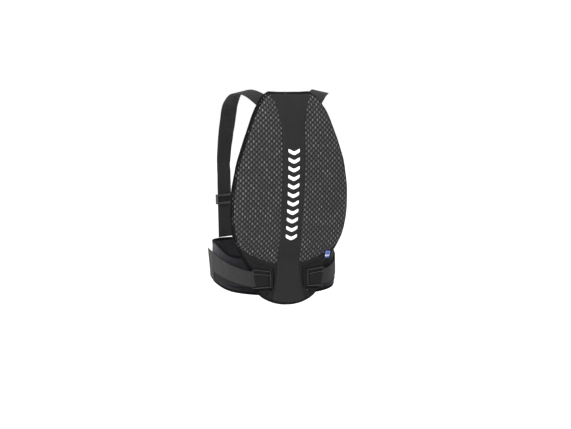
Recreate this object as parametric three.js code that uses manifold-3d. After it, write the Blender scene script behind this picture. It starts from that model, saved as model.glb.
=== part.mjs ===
// A motorcycle back protector, laid out as it is worn: a curved foam back panel in a textile cover, a wrap-round
// kidney belt with elastic tensioners, and two shoulder straps. Millimetres. +Z is up, +Y points forwards, out of the
// wearer's chest, and +X to the wearer's right. The origin is on the body-side face of the liner, on the spine, at
// the height of the two belt tunnels.
import * as THREE from "three";
import { mergeVertices } from "three/addons/utils/BufferGeometryUtils.js";
import Module from "manifold-3d";

const wasm = await Module();
wasm.setup();

// ---------------------------------------------------------------- driving dimensions

const GAP = 0.4; // between any two pieces that touch
const PANEL_DROP = 62; // from the origin down to the panel's lowest point
const SPINE_FLAT = 22; // half width of the flat band along the spine
const SIDE_RADIUS = 600; // how the panel curves round the back, either side of that band
const EDGE_DEPTH = 12.5; // thickness of the panel at its rim and under the belt tunnels
const FULL_DEPTH = 19; // thickness over the ribs
const DOME_WIDTH = 32; // how far in from the rim the full thickness is reached

const LINER_THICK = 3;
const COMFORT_THICK = 5;
const COVER_THICK = 2;
const BINDING_WIDTH = 3;

const TUNNEL = { inner: 39, outer: 85, bottom: -22, top: 21, skin: 1.3, pocket: 3.6 };

const WING_THICK = 4;
const WING_HINGE_X = 118; // where a wing leaves the panel's shadow and folds
const ELASTIC_THICK = 1.2;
const ELASTIC_WIDE = 38;
const UPPER_WIDE = 44; // where the upper elastic spreads into its tab
const PATCH_THICK = 1; // hook or loop tape
const TAB_THICK = 2.6;
const TAPE_TALL = 2.4; // edge tape along a wing

const STRAP_WIDE = 40;
const STRAP_THICK = 1.8;
const STRAP_FOLD = 0.152; // how far along the strap it leaves the rim and lifts, of its length to the chest

const colours = {
  softshell: 0x2b2b2d,
  lattice: 0x3a3a3e,
  lumbar: 0x252527,
  tape: 0x121214,
  foam: 0x4a4a4c,
  liner: 0x2e2e30,
  plush: 0x1f2026,
  elastic: 0x434345,
  hook: 0x18181a,
  plastic: 0x161617,
  print: 0xe9e9e6,
  label: 0x2d4a8a,
};

// ---------------------------------------------------------------- small tools

// A smooth curve through [at, value] pairs, without overshoot and level between equal values.
function smoothThrough(pairs) {
  const last = pairs.length - 1;
  const rise = (i) => (pairs[i + 1][1] - pairs[i][1]) / (pairs[i + 1][0] - pairs[i][0]);
  const slope = pairs.map((_, i) => {
    if (i === 0) return rise(0);
    if (i === last) return rise(last - 1);
    const before = rise(i - 1);
    const after = rise(i);
    return before * after > 0 ? (2 * before * after) / (before + after) : 0;
  });
  return (at) => {
    const x = THREE.MathUtils.clamp(at, pairs[0][0], pairs[last][0]);
    const i = Math.max(0, pairs.findIndex((p) => p[0] >= x) - 1);
    const span = pairs[i + 1][0] - pairs[i][0];
    const t = (x - pairs[i][0]) / span;
    const a = (1 + 2 * t) * (1 - t) ** 2;
    const b = t * (1 - t) ** 2;
    const c = t * t * (3 - 2 * t);
    const d = t * t * (t - 1);
    return a * pairs[i][1] + b * span * slope[i] + c * pairs[i + 1][1] + d * span * slope[i + 1];
  };
}

// A closed solid bent from a block. place(u, v, w) gives the point that lies u along, v across and w through it.
// Its near and far sides are cut into the same triangles, so that two such solids can lie close together.
function bentBlock(along, across, place, leansLeft = () => false) {
  const points = [];
  for (const w of [0, 1]) {
    for (let i = 0; i <= along; i++) {
      for (let j = 0; j <= across; j++) points.push(place(i / along, j / across, w));
    }
  }
  const at = (i, j, w) => (w * (along + 1) + i) * (across + 1) + j;
  const faces = [];
  const quad = (a, b, c, d) => faces.push(a, b, c, a, c, d);
  for (let i = 0; i < along; i++) {
    for (let j = 0; j < across; j++) {
      const [a, b, c, d] = [[i, j], [i + 1, j], [i + 1, j + 1], [i, j + 1]];
      const far = leansLeft(i) ? [b, c, d, a] : [a, b, c, d];
      const near = [far[0], far[3], far[2], far[1]];
      quad(...far.map((k) => at(...k, 1)));
      quad(...near.map((k) => at(...k, 0)));
    }
    quad(at(i, 0, 0), at(i + 1, 0, 0), at(i + 1, 0, 1), at(i, 0, 1));
    quad(at(i + 1, across, 0), at(i, across, 0), at(i, across, 1), at(i + 1, across, 1));
  }
  for (let j = 0; j < across; j++) {
    quad(at(0, j + 1, 0), at(0, j, 0), at(0, j, 1), at(0, j + 1, 1));
    quad(at(along, j, 0), at(along, j + 1, 0), at(along, j + 1, 1), at(along, j, 1));
  }
  const geometry = new THREE.BufferGeometry().setFromPoints(points);
  geometry.setIndex(faces);
  return geometry;
}

// The same block on the other side of the body. Running it backwards keeps its faces pointing out.
const onSide = (side, place) =>
  side > 0
    ? place
    : (u, v, w) => {
        const p = place(1 - u, v, w);
        p.x = -p.x;
        return p;
      };

function solidOf(geometry) {
  const bare = geometry.clone();
  bare.deleteAttribute("normal");
  bare.deleteAttribute("uv");
  const merged = mergeVertices(bare);
  return new wasm.Manifold(
    new wasm.Mesh({
      numProp: 3,
      vertProperties: merged.attributes.position.array,
      triVerts: new Uint32Array(merged.index.array),
    }),
  );
}

function geometryOf(solid) {
  const mesh = solid.getMesh();
  const geometry = new THREE.BufferGeometry();
  geometry.setAttribute("position", new THREE.BufferAttribute(mesh.vertProperties, 3));
  geometry.setIndex(new THREE.BufferAttribute(mesh.triVerts, 1));
  return geometry;
}

// A prism right through the panel, front to back, from a shape drawn in X and Z.
function prism(shape) {
  const reach = 200;
  const geometry = new THREE.ExtrudeGeometry(shape, { depth: reach, bevelEnabled: false, curveSegments: 10 });
  geometry.rotateX(Math.PI / 2);
  geometry.translate(0, reach / 2, 0);
  return solidOf(geometry);
}

const rectangle = (x0, z0, x1, z1) =>
  new THREE.Shape([
    new THREE.Vector2(x0, z0),
    new THREE.Vector2(x1, z0),
    new THREE.Vector2(x1, z1),
    new THREE.Vector2(x0, z1),
  ]);

const group = new THREE.Group();

function add(name, geometry, colour, roughness = 0.85) {
  const material = new THREE.MeshStandardMaterial({ color: colours[colour], roughness, metalness: 0 });
  const mesh = new THREE.Mesh(geometry, material);
  mesh.name = name;
  group.add(mesh);
}

// ---------------------------------------------------------------- the back panel's surfaces

// The wearer's back along the spine: hollow at the waist, full between the shoulder blades.
const spineLine = smoothThrough([
  [-64, -4], [-30, 0], [32, 0], [100, -19], [200, -38], [290, -46], [370, -41], [434, -22],
]);
const sideCurve = (x) => Math.max(0, Math.abs(x) - SPINE_FLAT) ** 2 / (2 * SIDE_RADIUS);

// The panel's rim, right side, from the bottom centre round to the shoulder corner.
const rimPoints = [
  [26, -59.5], [50, -50.5], [68, -37.5], [80, -19], [84, 2], [88, 20], [101, 40], [118, 68], [131, 100],
  [137.5, 135], [138.5, 170], [137, 206], [131.5, 243], [123.5, 279], [107, 327],
  [86.5, 380], [67, 411.5], [58, 420], [48, 426.5],
];
const TOP_DIP = 1.5; // how far the neckline dips between the two corners

// The rim as a closed loop of points, moved outwards by some distance.
function rim(outwards) {
  const right = rimPoints.map(([x, z]) => new THREE.Vector2(x, z));
  const left = rimPoints.map(([x, z]) => new THREE.Vector2(-x, z)).reverse();
  const round = new THREE.SplineCurve([...left, new THREE.Vector2(0, -PANEL_DROP), ...right]).getPoints(70);
  const [corner, middle] = [rimPoints.at(-1), rimPoints.at(-1)[1] - 2 * TOP_DIP];
  const neckline = new THREE.QuadraticBezierCurve(
    new THREE.Vector2(corner[0], corner[1]),
    new THREE.Vector2(0, middle),
    new THREE.Vector2(-corner[0], corner[1]),
  ).getPoints(8);
  const loop = [...round, ...neckline.slice(1, -1)];
  return loop.map((p, i) => {
    const before = p.clone().sub(loop.at(i - 1)).normalize();
    const after = loop[(i + 1) % loop.length].clone().sub(p).normalize();
    const normal = new THREE.Vector2(before.y + after.y, -before.x - after.x).normalize();
    const stretch = Math.sqrt((1 + before.dot(after)) / 2);
    return p.clone().addScaledVector(normal, outwards / stretch);
  });
}
const rimPrism = (outwards) => prism(new THREE.Shape(rim(outwards)));

// Distance from a point to the rim, and 0 outside it.
const rimLoop = rim(0);
function insideBy(x, z) {
  const p = new THREE.Vector3(x, z, 0);
  let nearest = Infinity;
  let inside = false;
  rimLoop.forEach((a, i) => {
    const b = rimLoop[(i + 1) % rimLoop.length];
    const edge = new THREE.Line3(new THREE.Vector3(a.x, a.y, 0), new THREE.Vector3(b.x, b.y, 0));
    nearest = Math.min(nearest, edge.closestPointToPoint(p, true, new THREE.Vector3()).distanceTo(p));
    if (a.y > z !== b.y > z && x < ((b.x - a.x) * (z - a.y)) / (b.y - a.y) + a.x) inside = !inside;
  });
  return inside ? nearest : 0;
}

const fullDepthAt = smoothThrough([[-64, EDGE_DEPTH], [36, EDGE_DEPTH], [85, FULL_DEPTH], [434, FULL_DEPTH]]);
function coverDepth(x, z) {
  const t = Math.min(1, insideBy(x, z) / DOME_WIDTH);
  return EDGE_DEPTH + (fullDepthAt(z) - EDGE_DEPTH) * Math.sqrt(1 - (1 - t) ** 2);
}

// Every layer of the panel uses the same grid, so that neighbouring layers stay parallel, facet by facet.
const columns = [22, 40, 60, 80, 100, 118, 134, 152];
const gridX = [...columns.map((x) => -x).reverse(), ...columns];
const gridZ = [
  -64, -48, -30, 0, 32, 54, 76, 98, 120, 146, 172, 198, 224, 250, 276, 302, 328, 352, 376, 396, 415, 434,
];
const gridDepth = gridX.map((x) => gridZ.map((z) => coverDepth(x, z)));

// A slab of the panel from one depth to another, where a depth is a function of the cover's own depth there.
function slab(near, far) {
  const [wide, tall] = [gridX.length - 1, gridZ.length - 1];
  const place = (u, v, w) => {
    const i = Math.round(u * wide);
    const j = Math.round(v * tall);
    const depth = (w < 0.5 ? near : far)(gridDepth[i][j]);
    return new THREE.Vector3(gridX[i], spineLine(gridZ[j]) + sideCurve(gridX[i]) - depth, gridZ[j]);
  };
  return solidOf(bentBlock(wide, tall, place, (i) => i < wide / 2));
}
const fixed = (depth) => () => depth;
const outside = (extra) => (depth) => depth + extra;

// ---------------------------------------------------------------- liner, foam and cover

const COMFORT_AT = LINER_THICK + GAP;
const CORE_AT = COMFORT_AT + COMFORT_THICK + GAP;
const FOAM_INSET = 9;
const foamTop = rectangle(-200, -200, 200, 392);

add("body_liner", geometryOf(slab(fixed(0), fixed(LINER_THICK)).intersect(rimPrism(0))), "liner", 0.9);

const foamPrism = rimPrism(-FOAM_INSET).intersect(prism(foamTop));
const comfort = slab(fixed(COMFORT_AT), fixed(COMFORT_AT + COMFORT_THICK));
add("comfort_foam", geometryOf(comfort.intersect(foamPrism)), "foam", 0.95);

const coreFar = (depth) => Math.max(depth - COVER_THICK - GAP, CORE_AT + 1);
const core = slab(fixed(CORE_AT), coreFar);
add("impact_core", geometryOf(core.intersect(foamPrism)), "foam", 0.7);

// Half width of the smooth strip down the spine: it flares out to the shoulders and to the hem.
const stripHalf = [
  [-66, 50], [-56, 43], [-42, 37], [-12, 30.5], [11, 28], [57, 25.3], [114, 24], [190, 25.9],
  [274, 26.6], [335, 27.6], [366, 30.5], [400, 38], [416, 44], [429, 51], [440, 57],
];
function strip(wider) {
  const right = stripHalf.map(([z, x]) => new THREE.Vector2(x + wider, z));
  const left = stripHalf.map(([z, x]) => new THREE.Vector2(-x - wider, z)).reverse();
  const sides = [new THREE.SplineCurve(right).getPoints(26), new THREE.SplineCurve(left).getPoints(26)];
  return prism(new THREE.Shape(sides.flat()));
}

// The lattice fabric ends above the belt, on a line that rises towards the sides.
const hemLine = [[0, 31], [28, 33], [55, 39], [80, 49], [105, 62], [125, 75], [160, 96]];
function belowHem(lower) {
  const right = hemLine.map(([x, z]) => new THREE.Vector2(x, z - lower));
  const left = right.slice(1).map((p) => new THREE.Vector2(-p.x, p.y)).reverse();
  const line = new THREE.SplineCurve([...left, ...right]).getPoints(24);
  return prism(new THREE.Shape([new THREE.Vector2(-160, -100), ...line, new THREE.Vector2(160, -100)].reverse()));
}

const cover = slab(outside(-COVER_THICK), outside(0)).intersect(rimPrism(0));
const besideStrip = cover.subtract(strip(GAP));
add("spine_cover", geometryOf(cover.intersect(strip(0))), "softshell", 0.75);
for (const [side, name] of [[-1, "left"], [1, "right"]]) {
  const half = prism(rectangle(side > 0 ? 0 : -200, -200, side > 0 ? 200 : 0, 500));
  add(`${name}_mesh_panel`, geometryOf(besideStrip.intersect(half).subtract(belowHem(0))), "lattice", 0.6);
  add(`${name}_lumbar_panel`, geometryOf(besideStrip.intersect(half).intersect(belowHem(GAP))), "lumbar", 0.85);
}

const rimBand = rimPrism(BINDING_WIDTH + GAP).subtract(rimPrism(GAP));
add("edge_binding", geometryOf(slab(fixed(0), fixed(EDGE_DEPTH)).intersect(rimBand)), "tape", 0.7);

// ---------------------------------------------------------------- print and label on the cover

const PRINT = { half: 15, bottom: 80, top: 296, thick: 0.5 };
const printPrism = prism(rectangle(-PRINT.half, PRINT.bottom, PRINT.half, PRINT.top));
const printSlab = slab(outside(GAP), outside(GAP + PRINT.thick));
add("reflective_transfer", geometryOf(printSlab.intersect(printPrism)), "print", 0.35);

const LABEL = { x: 97, z: 50, wide: 12, tall: 16, thick: 0.9 };
const labelShape = rectangle(
  LABEL.x - LABEL.wide / 2,
  LABEL.z - LABEL.tall / 2,
  LABEL.x + LABEL.wide / 2,
  LABEL.z + LABEL.tall / 2,
);
const labelSlab = slab(outside(GAP), outside(GAP + LABEL.thick));
add("side_label", geometryOf(labelSlab.intersect(prism(labelShape))), "label", 0.6);

// ---------------------------------------------------------------- belt tunnels

const POCKET_AT = GAP + TUNNEL.skin;
const TUNNEL_FAR = POCKET_AT + TUNNEL.pocket + TUNNEL.skin;
const POCKET_MARGIN = 2;
for (const [side, name] of [[-1, "left"], [1, "right"]]) {
  const across = (a, b) => (side > 0 ? [a, b] : [-b, -a]);
  const [x0, x1] = across(TUNNEL.inner, TUNNEL.outer);
  const [p0, p1] = across(TUNNEL.inner + 6, TUNNEL.outer + 20);
  const patch = prism(rectangle(x0, TUNNEL.bottom, x1, TUNNEL.top));
  const mouth = prism(rectangle(p0, TUNNEL.bottom + POCKET_MARGIN, p1, TUNNEL.top - POCKET_MARGIN));
  const pocket = slab(outside(POCKET_AT), outside(POCKET_AT + TUNNEL.pocket)).intersect(mouth);
  const sleeve = slab(outside(GAP), outside(TUNNEL_FAR)).intersect(patch).subtract(pocket);
  add(`${name}_belt_tunnel`, geometryOf(sleeve), "lumbar", 0.8);
}

// ---------------------------------------------------------------- the kidney belt

// Plan of the belt's body side, right half, from under the panel round to past the middle of the front.
const FRONT_Y = 200;
const SIDE = new THREE.Vector2(142, 100);
const FRONT_BEND_X = 60;
const CLOSURE_END_X = -70;
const beltPath = new THREE.CurvePath();
beltPath.add(new THREE.CubicBezierCurve(
  new THREE.Vector2(52, 6.6), new THREE.Vector2(68, 8), new THREE.Vector2(88, 12.2), new THREE.Vector2(104, 23),
));
beltPath.add(new THREE.CubicBezierCurve(
  new THREE.Vector2(104, 23), new THREE.Vector2(127, 38.8), SIDE.clone().setY(66), SIDE,
));
beltPath.add(new THREE.CubicBezierCurve(
  SIDE, SIDE.clone().setY(157), new THREE.Vector2(FRONT_BEND_X + 52, FRONT_Y), new THREE.Vector2(FRONT_BEND_X, FRONT_Y),
));
beltPath.add(new THREE.LineCurve(
  new THREE.Vector2(FRONT_BEND_X, FRONT_Y), new THREE.Vector2(CLOSURE_END_X, FRONT_Y),
));
const lengths = beltPath.getCurveLengths();
const BELT_LENGTH = lengths.at(-1);
const AT_SIDE = lengths[1];
const AT_FRONT = lengths[2];
const atFrontX = (x) => AT_FRONT + FRONT_BEND_X - x; // path length at a point on the straight front

// The path length at which the belt crosses the line where a wing folds.
function atBackX(x) {
  let s = 0;
  while (beltPath.getPoint(s / BELT_LENGTH).x < x) s += 0.25;
  return s;
}
const AT_HINGE = atBackX(WING_HINGE_X);

function offPath(path, length, s, z, offset) {
  const t = THREE.MathUtils.clamp(s / length, 0, 1);
  const p = path.getPoint(t);
  const ahead = path.getPoint(Math.min(1, t + 1e-4));
  const behind = path.getPoint(Math.max(0, t - 1e-4));
  const along = ahead.sub(behind).normalize();
  return new THREE.Vector3(p.x + along.y * offset, p.y - along.x * offset, z);
}
const beltPoint = (s, z, offset) => offPath(beltPath, BELT_LENGTH, s, z, offset);

const beltTop = smoothThrough([[0, 42], [AT_HINGE, 50], [AT_SIDE, 78], [AT_FRONT, 77], [BELT_LENGTH, 75]]);
const beltBottom = smoothThrough([[0, -40], [AT_HINGE, -32], [AT_SIDE, -16], [AT_FRONT, -4], [BELT_LENGTH, -3]]);
const lerp = THREE.MathUtils.lerp;

// A length of belt between two path lengths, offsets and heights. lift moves it outwards.
function beltPiece(side, s0, s1, near, far, low, high, lift = () => 0, along = 12) {
  return bentBlock(along, 1, onSide(side, (u, v, w) => {
    const s = lerp(s0, s1, u);
    const z = lerp(low(s), high(s), v);
    return beltPoint(s, z, lerp(near, far, w) + lift(s, z));
  }));
}

const LEFT_TIP = atFrontX(-20); // the left wing's end passes the middle by 20 mm
const RIGHT_END = atFrontX(10); // the right wing ends short of it, where the closure tab begins
const OVER_LEFT = WING_THICK + PATCH_THICK + 2 * GAP; // how far the right side stands off to lie over the left
const stepOut = smoothThrough([
  [0, 0], [AT_FRONT - 6, 0], [AT_FRONT + 34, OVER_LEFT + 0.8], [BELT_LENGTH, OVER_LEFT + 0.8],
]);

for (const [side, name] of [[-1, "left"], [1, "right"]]) {
  const end = side > 0 ? RIGHT_END : LEFT_TIP;
  const lift = side > 0 ? stepOut : () => 0;
  add(`${name}_wing_anchor`, beltPiece(side, 0, AT_HINGE - 0.6, 0, WING_THICK, beltBottom, beltTop), "plush");
  add(`${name}_belt_wing`, beltPiece(side, AT_HINGE, end, 0, WING_THICK, beltBottom, beltTop, lift, 36), "plush");
  const tape = (low, high) => beltPiece(side, AT_HINGE, end, -0.3, WING_THICK + 0.1, low, high, lift, 36);
  add(`${name}_wing_top_tape`, tape((s) => beltTop(s) + GAP, (s) => beltTop(s) + GAP + TAPE_TALL), "tape");
  add(`${name}_wing_bottom_tape`, tape((s) => beltBottom(s) - GAP - TAPE_TALL, (s) => beltBottom(s) - GAP), "tape");
}

// Front closure: a stiff tab with hook tape on its back, sewn to the right wing, and loop tape on the left wing.
const TAB_START = RIGHT_END + GAP;
const TAB_NEAR = OVER_LEFT + PATCH_THICK + GAP;
const tabLow = (s) => beltBottom(s) + 3;
const tabHigh = (s) => beltTop(s) - 3;
add("closure_tab", beltPiece(1, TAB_START, BELT_LENGTH, TAB_NEAR, TAB_NEAR + TAB_THICK, tabLow, tabHigh), "plush");
const hookNear = OVER_LEFT;
const inset = (f, by) => (s) => f(s) + by;
add(
  "closure_hook_tape",
  beltPiece(1, TAB_START + 12, BELT_LENGTH - 4, hookNear, hookNear + PATCH_THICK, inset(tabLow, 4), inset(tabHigh, -4)),
  "hook",
);
const loopFrom = atFrontX(64);
add(
  "closure_loop_tape",
  beltPiece(
    -1, loopFrom, LEFT_TIP - 8, WING_THICK + GAP, WING_THICK + GAP + PATCH_THICK,
    inset(beltBottom, 6), inset(beltTop, -6),
  ),
  "hook",
);

// ---------------------------------------------------------------- elastic tensioners

// Plan of the inner face of the lower elastic: out of the tunnel, then straight round to the side of the belt.
const inTunnel = (x) => sideCurve(x) - EDGE_DEPTH - POCKET_AT - 0.3;
const ON_WING = WING_THICK + GAP;
const elasticPath = new THREE.CurvePath();
elasticPath.add(new THREE.QuadraticBezierCurve(
  new THREE.Vector2(50, inTunnel(50)),
  new THREE.Vector2(68, inTunnel(68) - 0.5),
  new THREE.Vector2(86, inTunnel(86)),
));
elasticPath.add(new THREE.CubicBezierCurve(
  new THREE.Vector2(86, inTunnel(86)),
  new THREE.Vector2(112, inTunnel(86) + 4.5),
  new THREE.Vector2(SIDE.x + ON_WING + 0.4, 58),
  new THREE.Vector2(SIDE.x + ON_WING + 0.4, SIDE.y),
));
const ELASTIC_LENGTH = elasticPath.getCurveLengths().at(-1);
const elasticPoint = (s, z, offset) => offPath(elasticPath, ELASTIC_LENGTH, s, z, offset);
let elasticFold = 0;
while (elasticPath.getPoint(elasticFold / ELASTIC_LENGTH).x < WING_HINGE_X) elasticFold += 0.25;

// The two elastics leave the tunnel on top of each other and fan out towards the side.
const elastics = [
  {
    name: "lower_elastic", layer: 0, wideEnd: ELASTIC_WIDE,
    rise: [[0, -1.5], [36, -1.5], [60, -1], [ELASTIC_LENGTH, 6]],
  },
  {
    name: "upper_elastic", layer: 1, wideEnd: UPPER_WIDE,
    rise: [[0, -0.5], [36, -0.5], [60, 3.5], [ELASTIC_LENGTH, 32]],
  },
];
for (const [side, sideName] of [[-1, "left"], [1, "right"]]) {
  for (const { name, layer, wideEnd, rise } of elastics) {
    const middle = smoothThrough(rise);
    const elasticWide = smoothThrough([[0, 35], [40, 35], [ELASTIC_LENGTH, wideEnd]]);
    const near = layer * (ELASTIC_THICK + 0.3);
    const piece = (s0, s1, along) =>
      bentBlock(along, 1, onSide(side, (u, v, w) => {
        const s = lerp(s0, s1, u);
        const z = middle(s) + (v - 0.5) * elasticWide(s);
        return elasticPoint(s, z, near + w * ELASTIC_THICK);
      }));
    add(`${sideName}_${name}_root`, piece(0, elasticFold - 0.6, 12), "elastic", 0.8);
    add(`${sideName}_${name}`, piece(elasticFold, ELASTIC_LENGTH - GAP, 14), "elastic", 0.8);
  }
}

// Each pair ends in a tab with hook tape. Its free end stands off the belt a little, most of all its upper corner.
const TENSION_TAB = 62;
const tensionEnd = AT_SIDE + TENSION_TAB;
const curl = smoothThrough([[AT_SIDE, 0], [AT_SIDE + 22, 0.6], [tensionEnd, 10]]);
const standOff = (s, z) => curl(s) * lerp(0.3, 1, (z + 12) / 72);
const tensionLow = smoothThrough([[AT_SIDE, -12], [tensionEnd, -4]]);
const tensionHigh = smoothThrough([[AT_SIDE, 54], [tensionEnd, 60]]);
const TENSION_NEAR = ON_WING + PATCH_THICK + 0.5;
for (const [side, name] of [[-1, "left"], [1, "right"]]) {
  const start = AT_SIDE + GAP;
  const far = TENSION_NEAR + TAB_THICK - 0.4;
  add(
    `${name}_tension_tab`,
    beltPiece(side, start, tensionEnd, TENSION_NEAR, far, tensionLow, tensionHigh, standOff, 14),
    "elastic",
  );
  add(
    `${name}_tension_hook_tape`,
    beltPiece(
      side, start + 10, tensionEnd - 3, ON_WING, ON_WING + PATCH_THICK,
      inset(tensionLow, 4), inset(tensionHigh, -4), standOff, 12,
    ),
    "hook",
  );
}

// ---------------------------------------------------------------- shoulder straps

// Where a strap lies on the front of the belt, and how it hangs down to it from the chest.
const AT_STRAP = AT_FRONT - 30;
const strapFoot = beltPoint(AT_STRAP, beltTop(AT_STRAP) + 4, WING_THICK + GAP);
const footLeft = beltPoint(AT_STRAP - 5, 0, 0);
const footRight = beltPoint(AT_STRAP + 5, 0, 0);
const footWidth = footLeft.clone().sub(footRight).normalize(); // across the strap, towards the arm
const RUN_RISE = 160; // the strap's straight run over the chest
const runTop = strapFoot.clone().add(new THREE.Vector3(4, -9, RUN_RISE));

// Centre line and width direction from the sewn end behind the liner, over the shoulder, to the straight run.
const overShoulder = [
  { at: [42, -24, 392], across: [0.6, -0.2, -0.8] },
  { at: [65, -14, 411], across: [0.68, -0.46, -0.57] },
  { at: [84, 2, 425], across: [0.76, -0.56, -0.33] },
  { at: [97, 28, 428], across: [0.84, -0.5, -0.2] },
  { at: [102, 62, 421], across: [0.93, -0.25, -0.2] },
  { at: [103, 98, 399], across: [0.98, 0, -0.2] },
  { at: [100, 132, 362], across: [0.98, 0, -0.18] },
  { at: [96, 170, 316], across: [0.97, -0.2, -0.1] },
];
const chest = runTop.clone().lerp(strapFoot, -0.15);
const strapLine = new THREE.CatmullRomCurve3([
  ...overShoulder.map((k) => new THREE.Vector3(...k.at)), chest, runTop,
]);
const strapAcross = new THREE.CatmullRomCurve3([
  ...overShoulder.map((k) => new THREE.Vector3(...k.across)), footWidth, footWidth,
]);

// A point on the strap: across its width, and out from the wearer's body.
function strapPoint(t, across, out) {
  const p = strapLine.getPoint(t);
  const along = strapLine.getTangent(t);
  const wide = strapAcross.getPoint(t);
  wide.addScaledVector(along, -wide.dot(along)).normalize();
  const outward = wide.clone().cross(along).normalize();
  return p.addScaledVector(wide, across).addScaledVector(outward, out);
}
const runDown = strapFoot.clone().sub(runTop);
const runOut = footWidth.clone().cross(runDown).normalize();
const runWide = runDown.clone().cross(runOut).normalize();
const runPoint = (t, across, out) =>
  runTop.clone().addScaledVector(runDown, t).addScaledVector(runWide, across).addScaledVector(runOut, out);

const SLIDER = { wide: 48, tall: 24, bar: 5, thick: 2.6, from: 0.42 };
for (const [side, name] of [[-1, "left"], [1, "right"]]) {
  const overlay = (from, to, along) =>
    bentBlock(along, 1, onSide(side, (u, v, w) =>
      strapPoint(lerp(from, to, u), (0.5 - v) * STRAP_WIDE, w * STRAP_THICK)));
  add(`${name}_strap_root`, overlay(0, STRAP_FOLD - 0.003, 6), "elastic", 0.8);
  add(`${name}_shoulder_strap`, overlay(STRAP_FOLD, 1, 30), "elastic", 0.8);
  const lower = bentBlock(4, 1, onSide(side, (u, v, w) =>
    runPoint(lerp(GAP / RUN_RISE, 1, u), (0.5 - v) * STRAP_WIDE, w * STRAP_THICK)));
  add(`${name}_strap_tail`, lower, "elastic", 0.8);

  // A patch sewn over the strap's end, on the body side of the liner.
  const patch = bentBlock(4, 1, onSide(side, (u, v, w) =>
    strapPoint(lerp(0.005, 0.09, u), (0.5 - v) * (STRAP_WIDE - 6), -3 * GAP - (1 - w) * PATCH_THICK)));
  add(`${name}_strap_patch`, patch, "tape");

  // The strap's hook tab, on the outside of the belt.
  const half = STRAP_WIDE / 2 + 2;
  const tabTop = (s) => beltTop(s) + 2.6;
  add(
    `${name}_strap_tab`,
    beltPiece(
      side, AT_STRAP - half, AT_STRAP + half, ON_WING, ON_WING + TAB_THICK,
      inset(tabTop, -62), tabTop, () => 0, 8,
    ),
    "tape",
  );

  // Adjuster: two bars behind the strap, one in front, joined past its edges.
  const centre = runPoint(SLIDER.from, 0, 0);
  const frame = new THREE.Matrix4().makeBasis(runWide, runDown.clone().normalize(), runOut);
  const box = (wide, tall, x, y, near, far) => {
    const g = new THREE.BoxGeometry(wide, tall, far - near);
    g.translate(x, y, (near + far) / 2);
    return solidOf(g);
  };
  const [back, front] = [-GAP, STRAP_THICK + GAP];
  const cheek = (SLIDER.wide - STRAP_WIDE - 2 * GAP) / 2;
  const cheekX = (SLIDER.wide - cheek) / 2;
  const barY = (SLIDER.tall - SLIDER.bar) / 2;
  const parts = [
    box(SLIDER.wide, SLIDER.bar, 0, barY, back - SLIDER.thick, back),
    box(SLIDER.wide, SLIDER.bar, 0, -barY, back - SLIDER.thick, back),
    box(SLIDER.wide, SLIDER.bar + 2, 0, 0, front, front + SLIDER.thick),
    box(cheek, SLIDER.tall, cheekX, 0, back - SLIDER.thick, front + SLIDER.thick),
    box(cheek, SLIDER.tall, -cheekX, 0, back - SLIDER.thick, front + SLIDER.thick),
  ];
  const slider = geometryOf(parts.reduce((a, b) => a.add(b)));
  slider.applyMatrix4(frame);
  slider.translate(centre.x, centre.y, centre.z);
  if (side < 0) {
    slider.scale(-1, 1, 1);
    const faces = slider.index.array;
    for (let i = 0; i < faces.length; i += 3) [faces[i + 1], faces[i + 2]] = [faces[i + 2], faces[i + 1]];
  }
  add(`${name}_strap_slider`, slider, "plastic", 0.45);
}

export default group;
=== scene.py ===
# Looks for a motorcycle back protector: its fabrics, foam, webbing and stitching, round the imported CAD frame.
# Lengths are millimetres until a mesh is made. Every mesh is in metres, in the frame of the CAD.
import math

import bpy
import numpy as np
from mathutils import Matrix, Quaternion, Vector


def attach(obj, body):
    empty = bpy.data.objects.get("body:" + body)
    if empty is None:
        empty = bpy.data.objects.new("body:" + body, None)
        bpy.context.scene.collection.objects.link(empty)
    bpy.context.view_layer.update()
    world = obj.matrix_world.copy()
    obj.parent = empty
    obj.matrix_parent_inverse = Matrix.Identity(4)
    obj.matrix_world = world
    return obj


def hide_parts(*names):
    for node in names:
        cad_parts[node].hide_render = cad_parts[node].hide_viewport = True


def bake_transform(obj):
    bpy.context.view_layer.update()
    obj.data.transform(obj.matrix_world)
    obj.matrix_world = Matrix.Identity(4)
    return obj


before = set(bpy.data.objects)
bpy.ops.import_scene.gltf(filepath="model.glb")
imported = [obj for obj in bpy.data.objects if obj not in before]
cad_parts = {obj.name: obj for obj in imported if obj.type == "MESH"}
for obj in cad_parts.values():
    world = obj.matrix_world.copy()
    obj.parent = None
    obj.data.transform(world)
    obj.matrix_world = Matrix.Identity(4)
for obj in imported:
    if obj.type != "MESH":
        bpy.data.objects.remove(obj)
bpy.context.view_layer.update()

MM = 0.001
random = np.random.default_rng(7)

# ---------- dimensions, as in the CAD

PANEL_DROP = 62
SPINE_FLAT = 22
SIDE_RADIUS = 600
EDGE_DEPTH = 12.5
FULL_DEPTH = 19
DOME_WIDTH = 32
EDGE_START = 5.5  # depth of the cover where it goes under the binding
EDGE_ROUND = 8  # how far in from the rim the rounded edge reaches
LINER_THICK = 3
COMFORT_AT, COMFORT_THICK = 3.4, 5
FOAM_INSET = 9
FOAM_TOP = 392
WING_THICK = 4
WING_HINGE_X = 118
ON_WING = 4.4
ELASTIC_THICK = 1.2
TAPE_TALL = 2.4
STRAP_WIDE = 40
STRAP_THICK = 1.8
STRAP_FOLD = 0.152  # where a strap bends when it is lifted, as a share of its shoulder part; nothing here bends it, and the webbing's ripples begin just past it
PITCH = 11.7  # of the lattice, both ways
KNOT_WIDE, KNOT_TALL = 1.15, 3.1  # half sizes of the pale upright loop at each of its crossings
HOLE_ASIDE, HOLE_WIDE, HOLE_TALL = 2.7, 1.6, 2.9  # the dark hole beside each loop
YARN_WIDE = 1.1  # half width of its raised yarns
CELLS = 12  # mesh cells in a pitch
STEP = PITCH / CELLS
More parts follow.
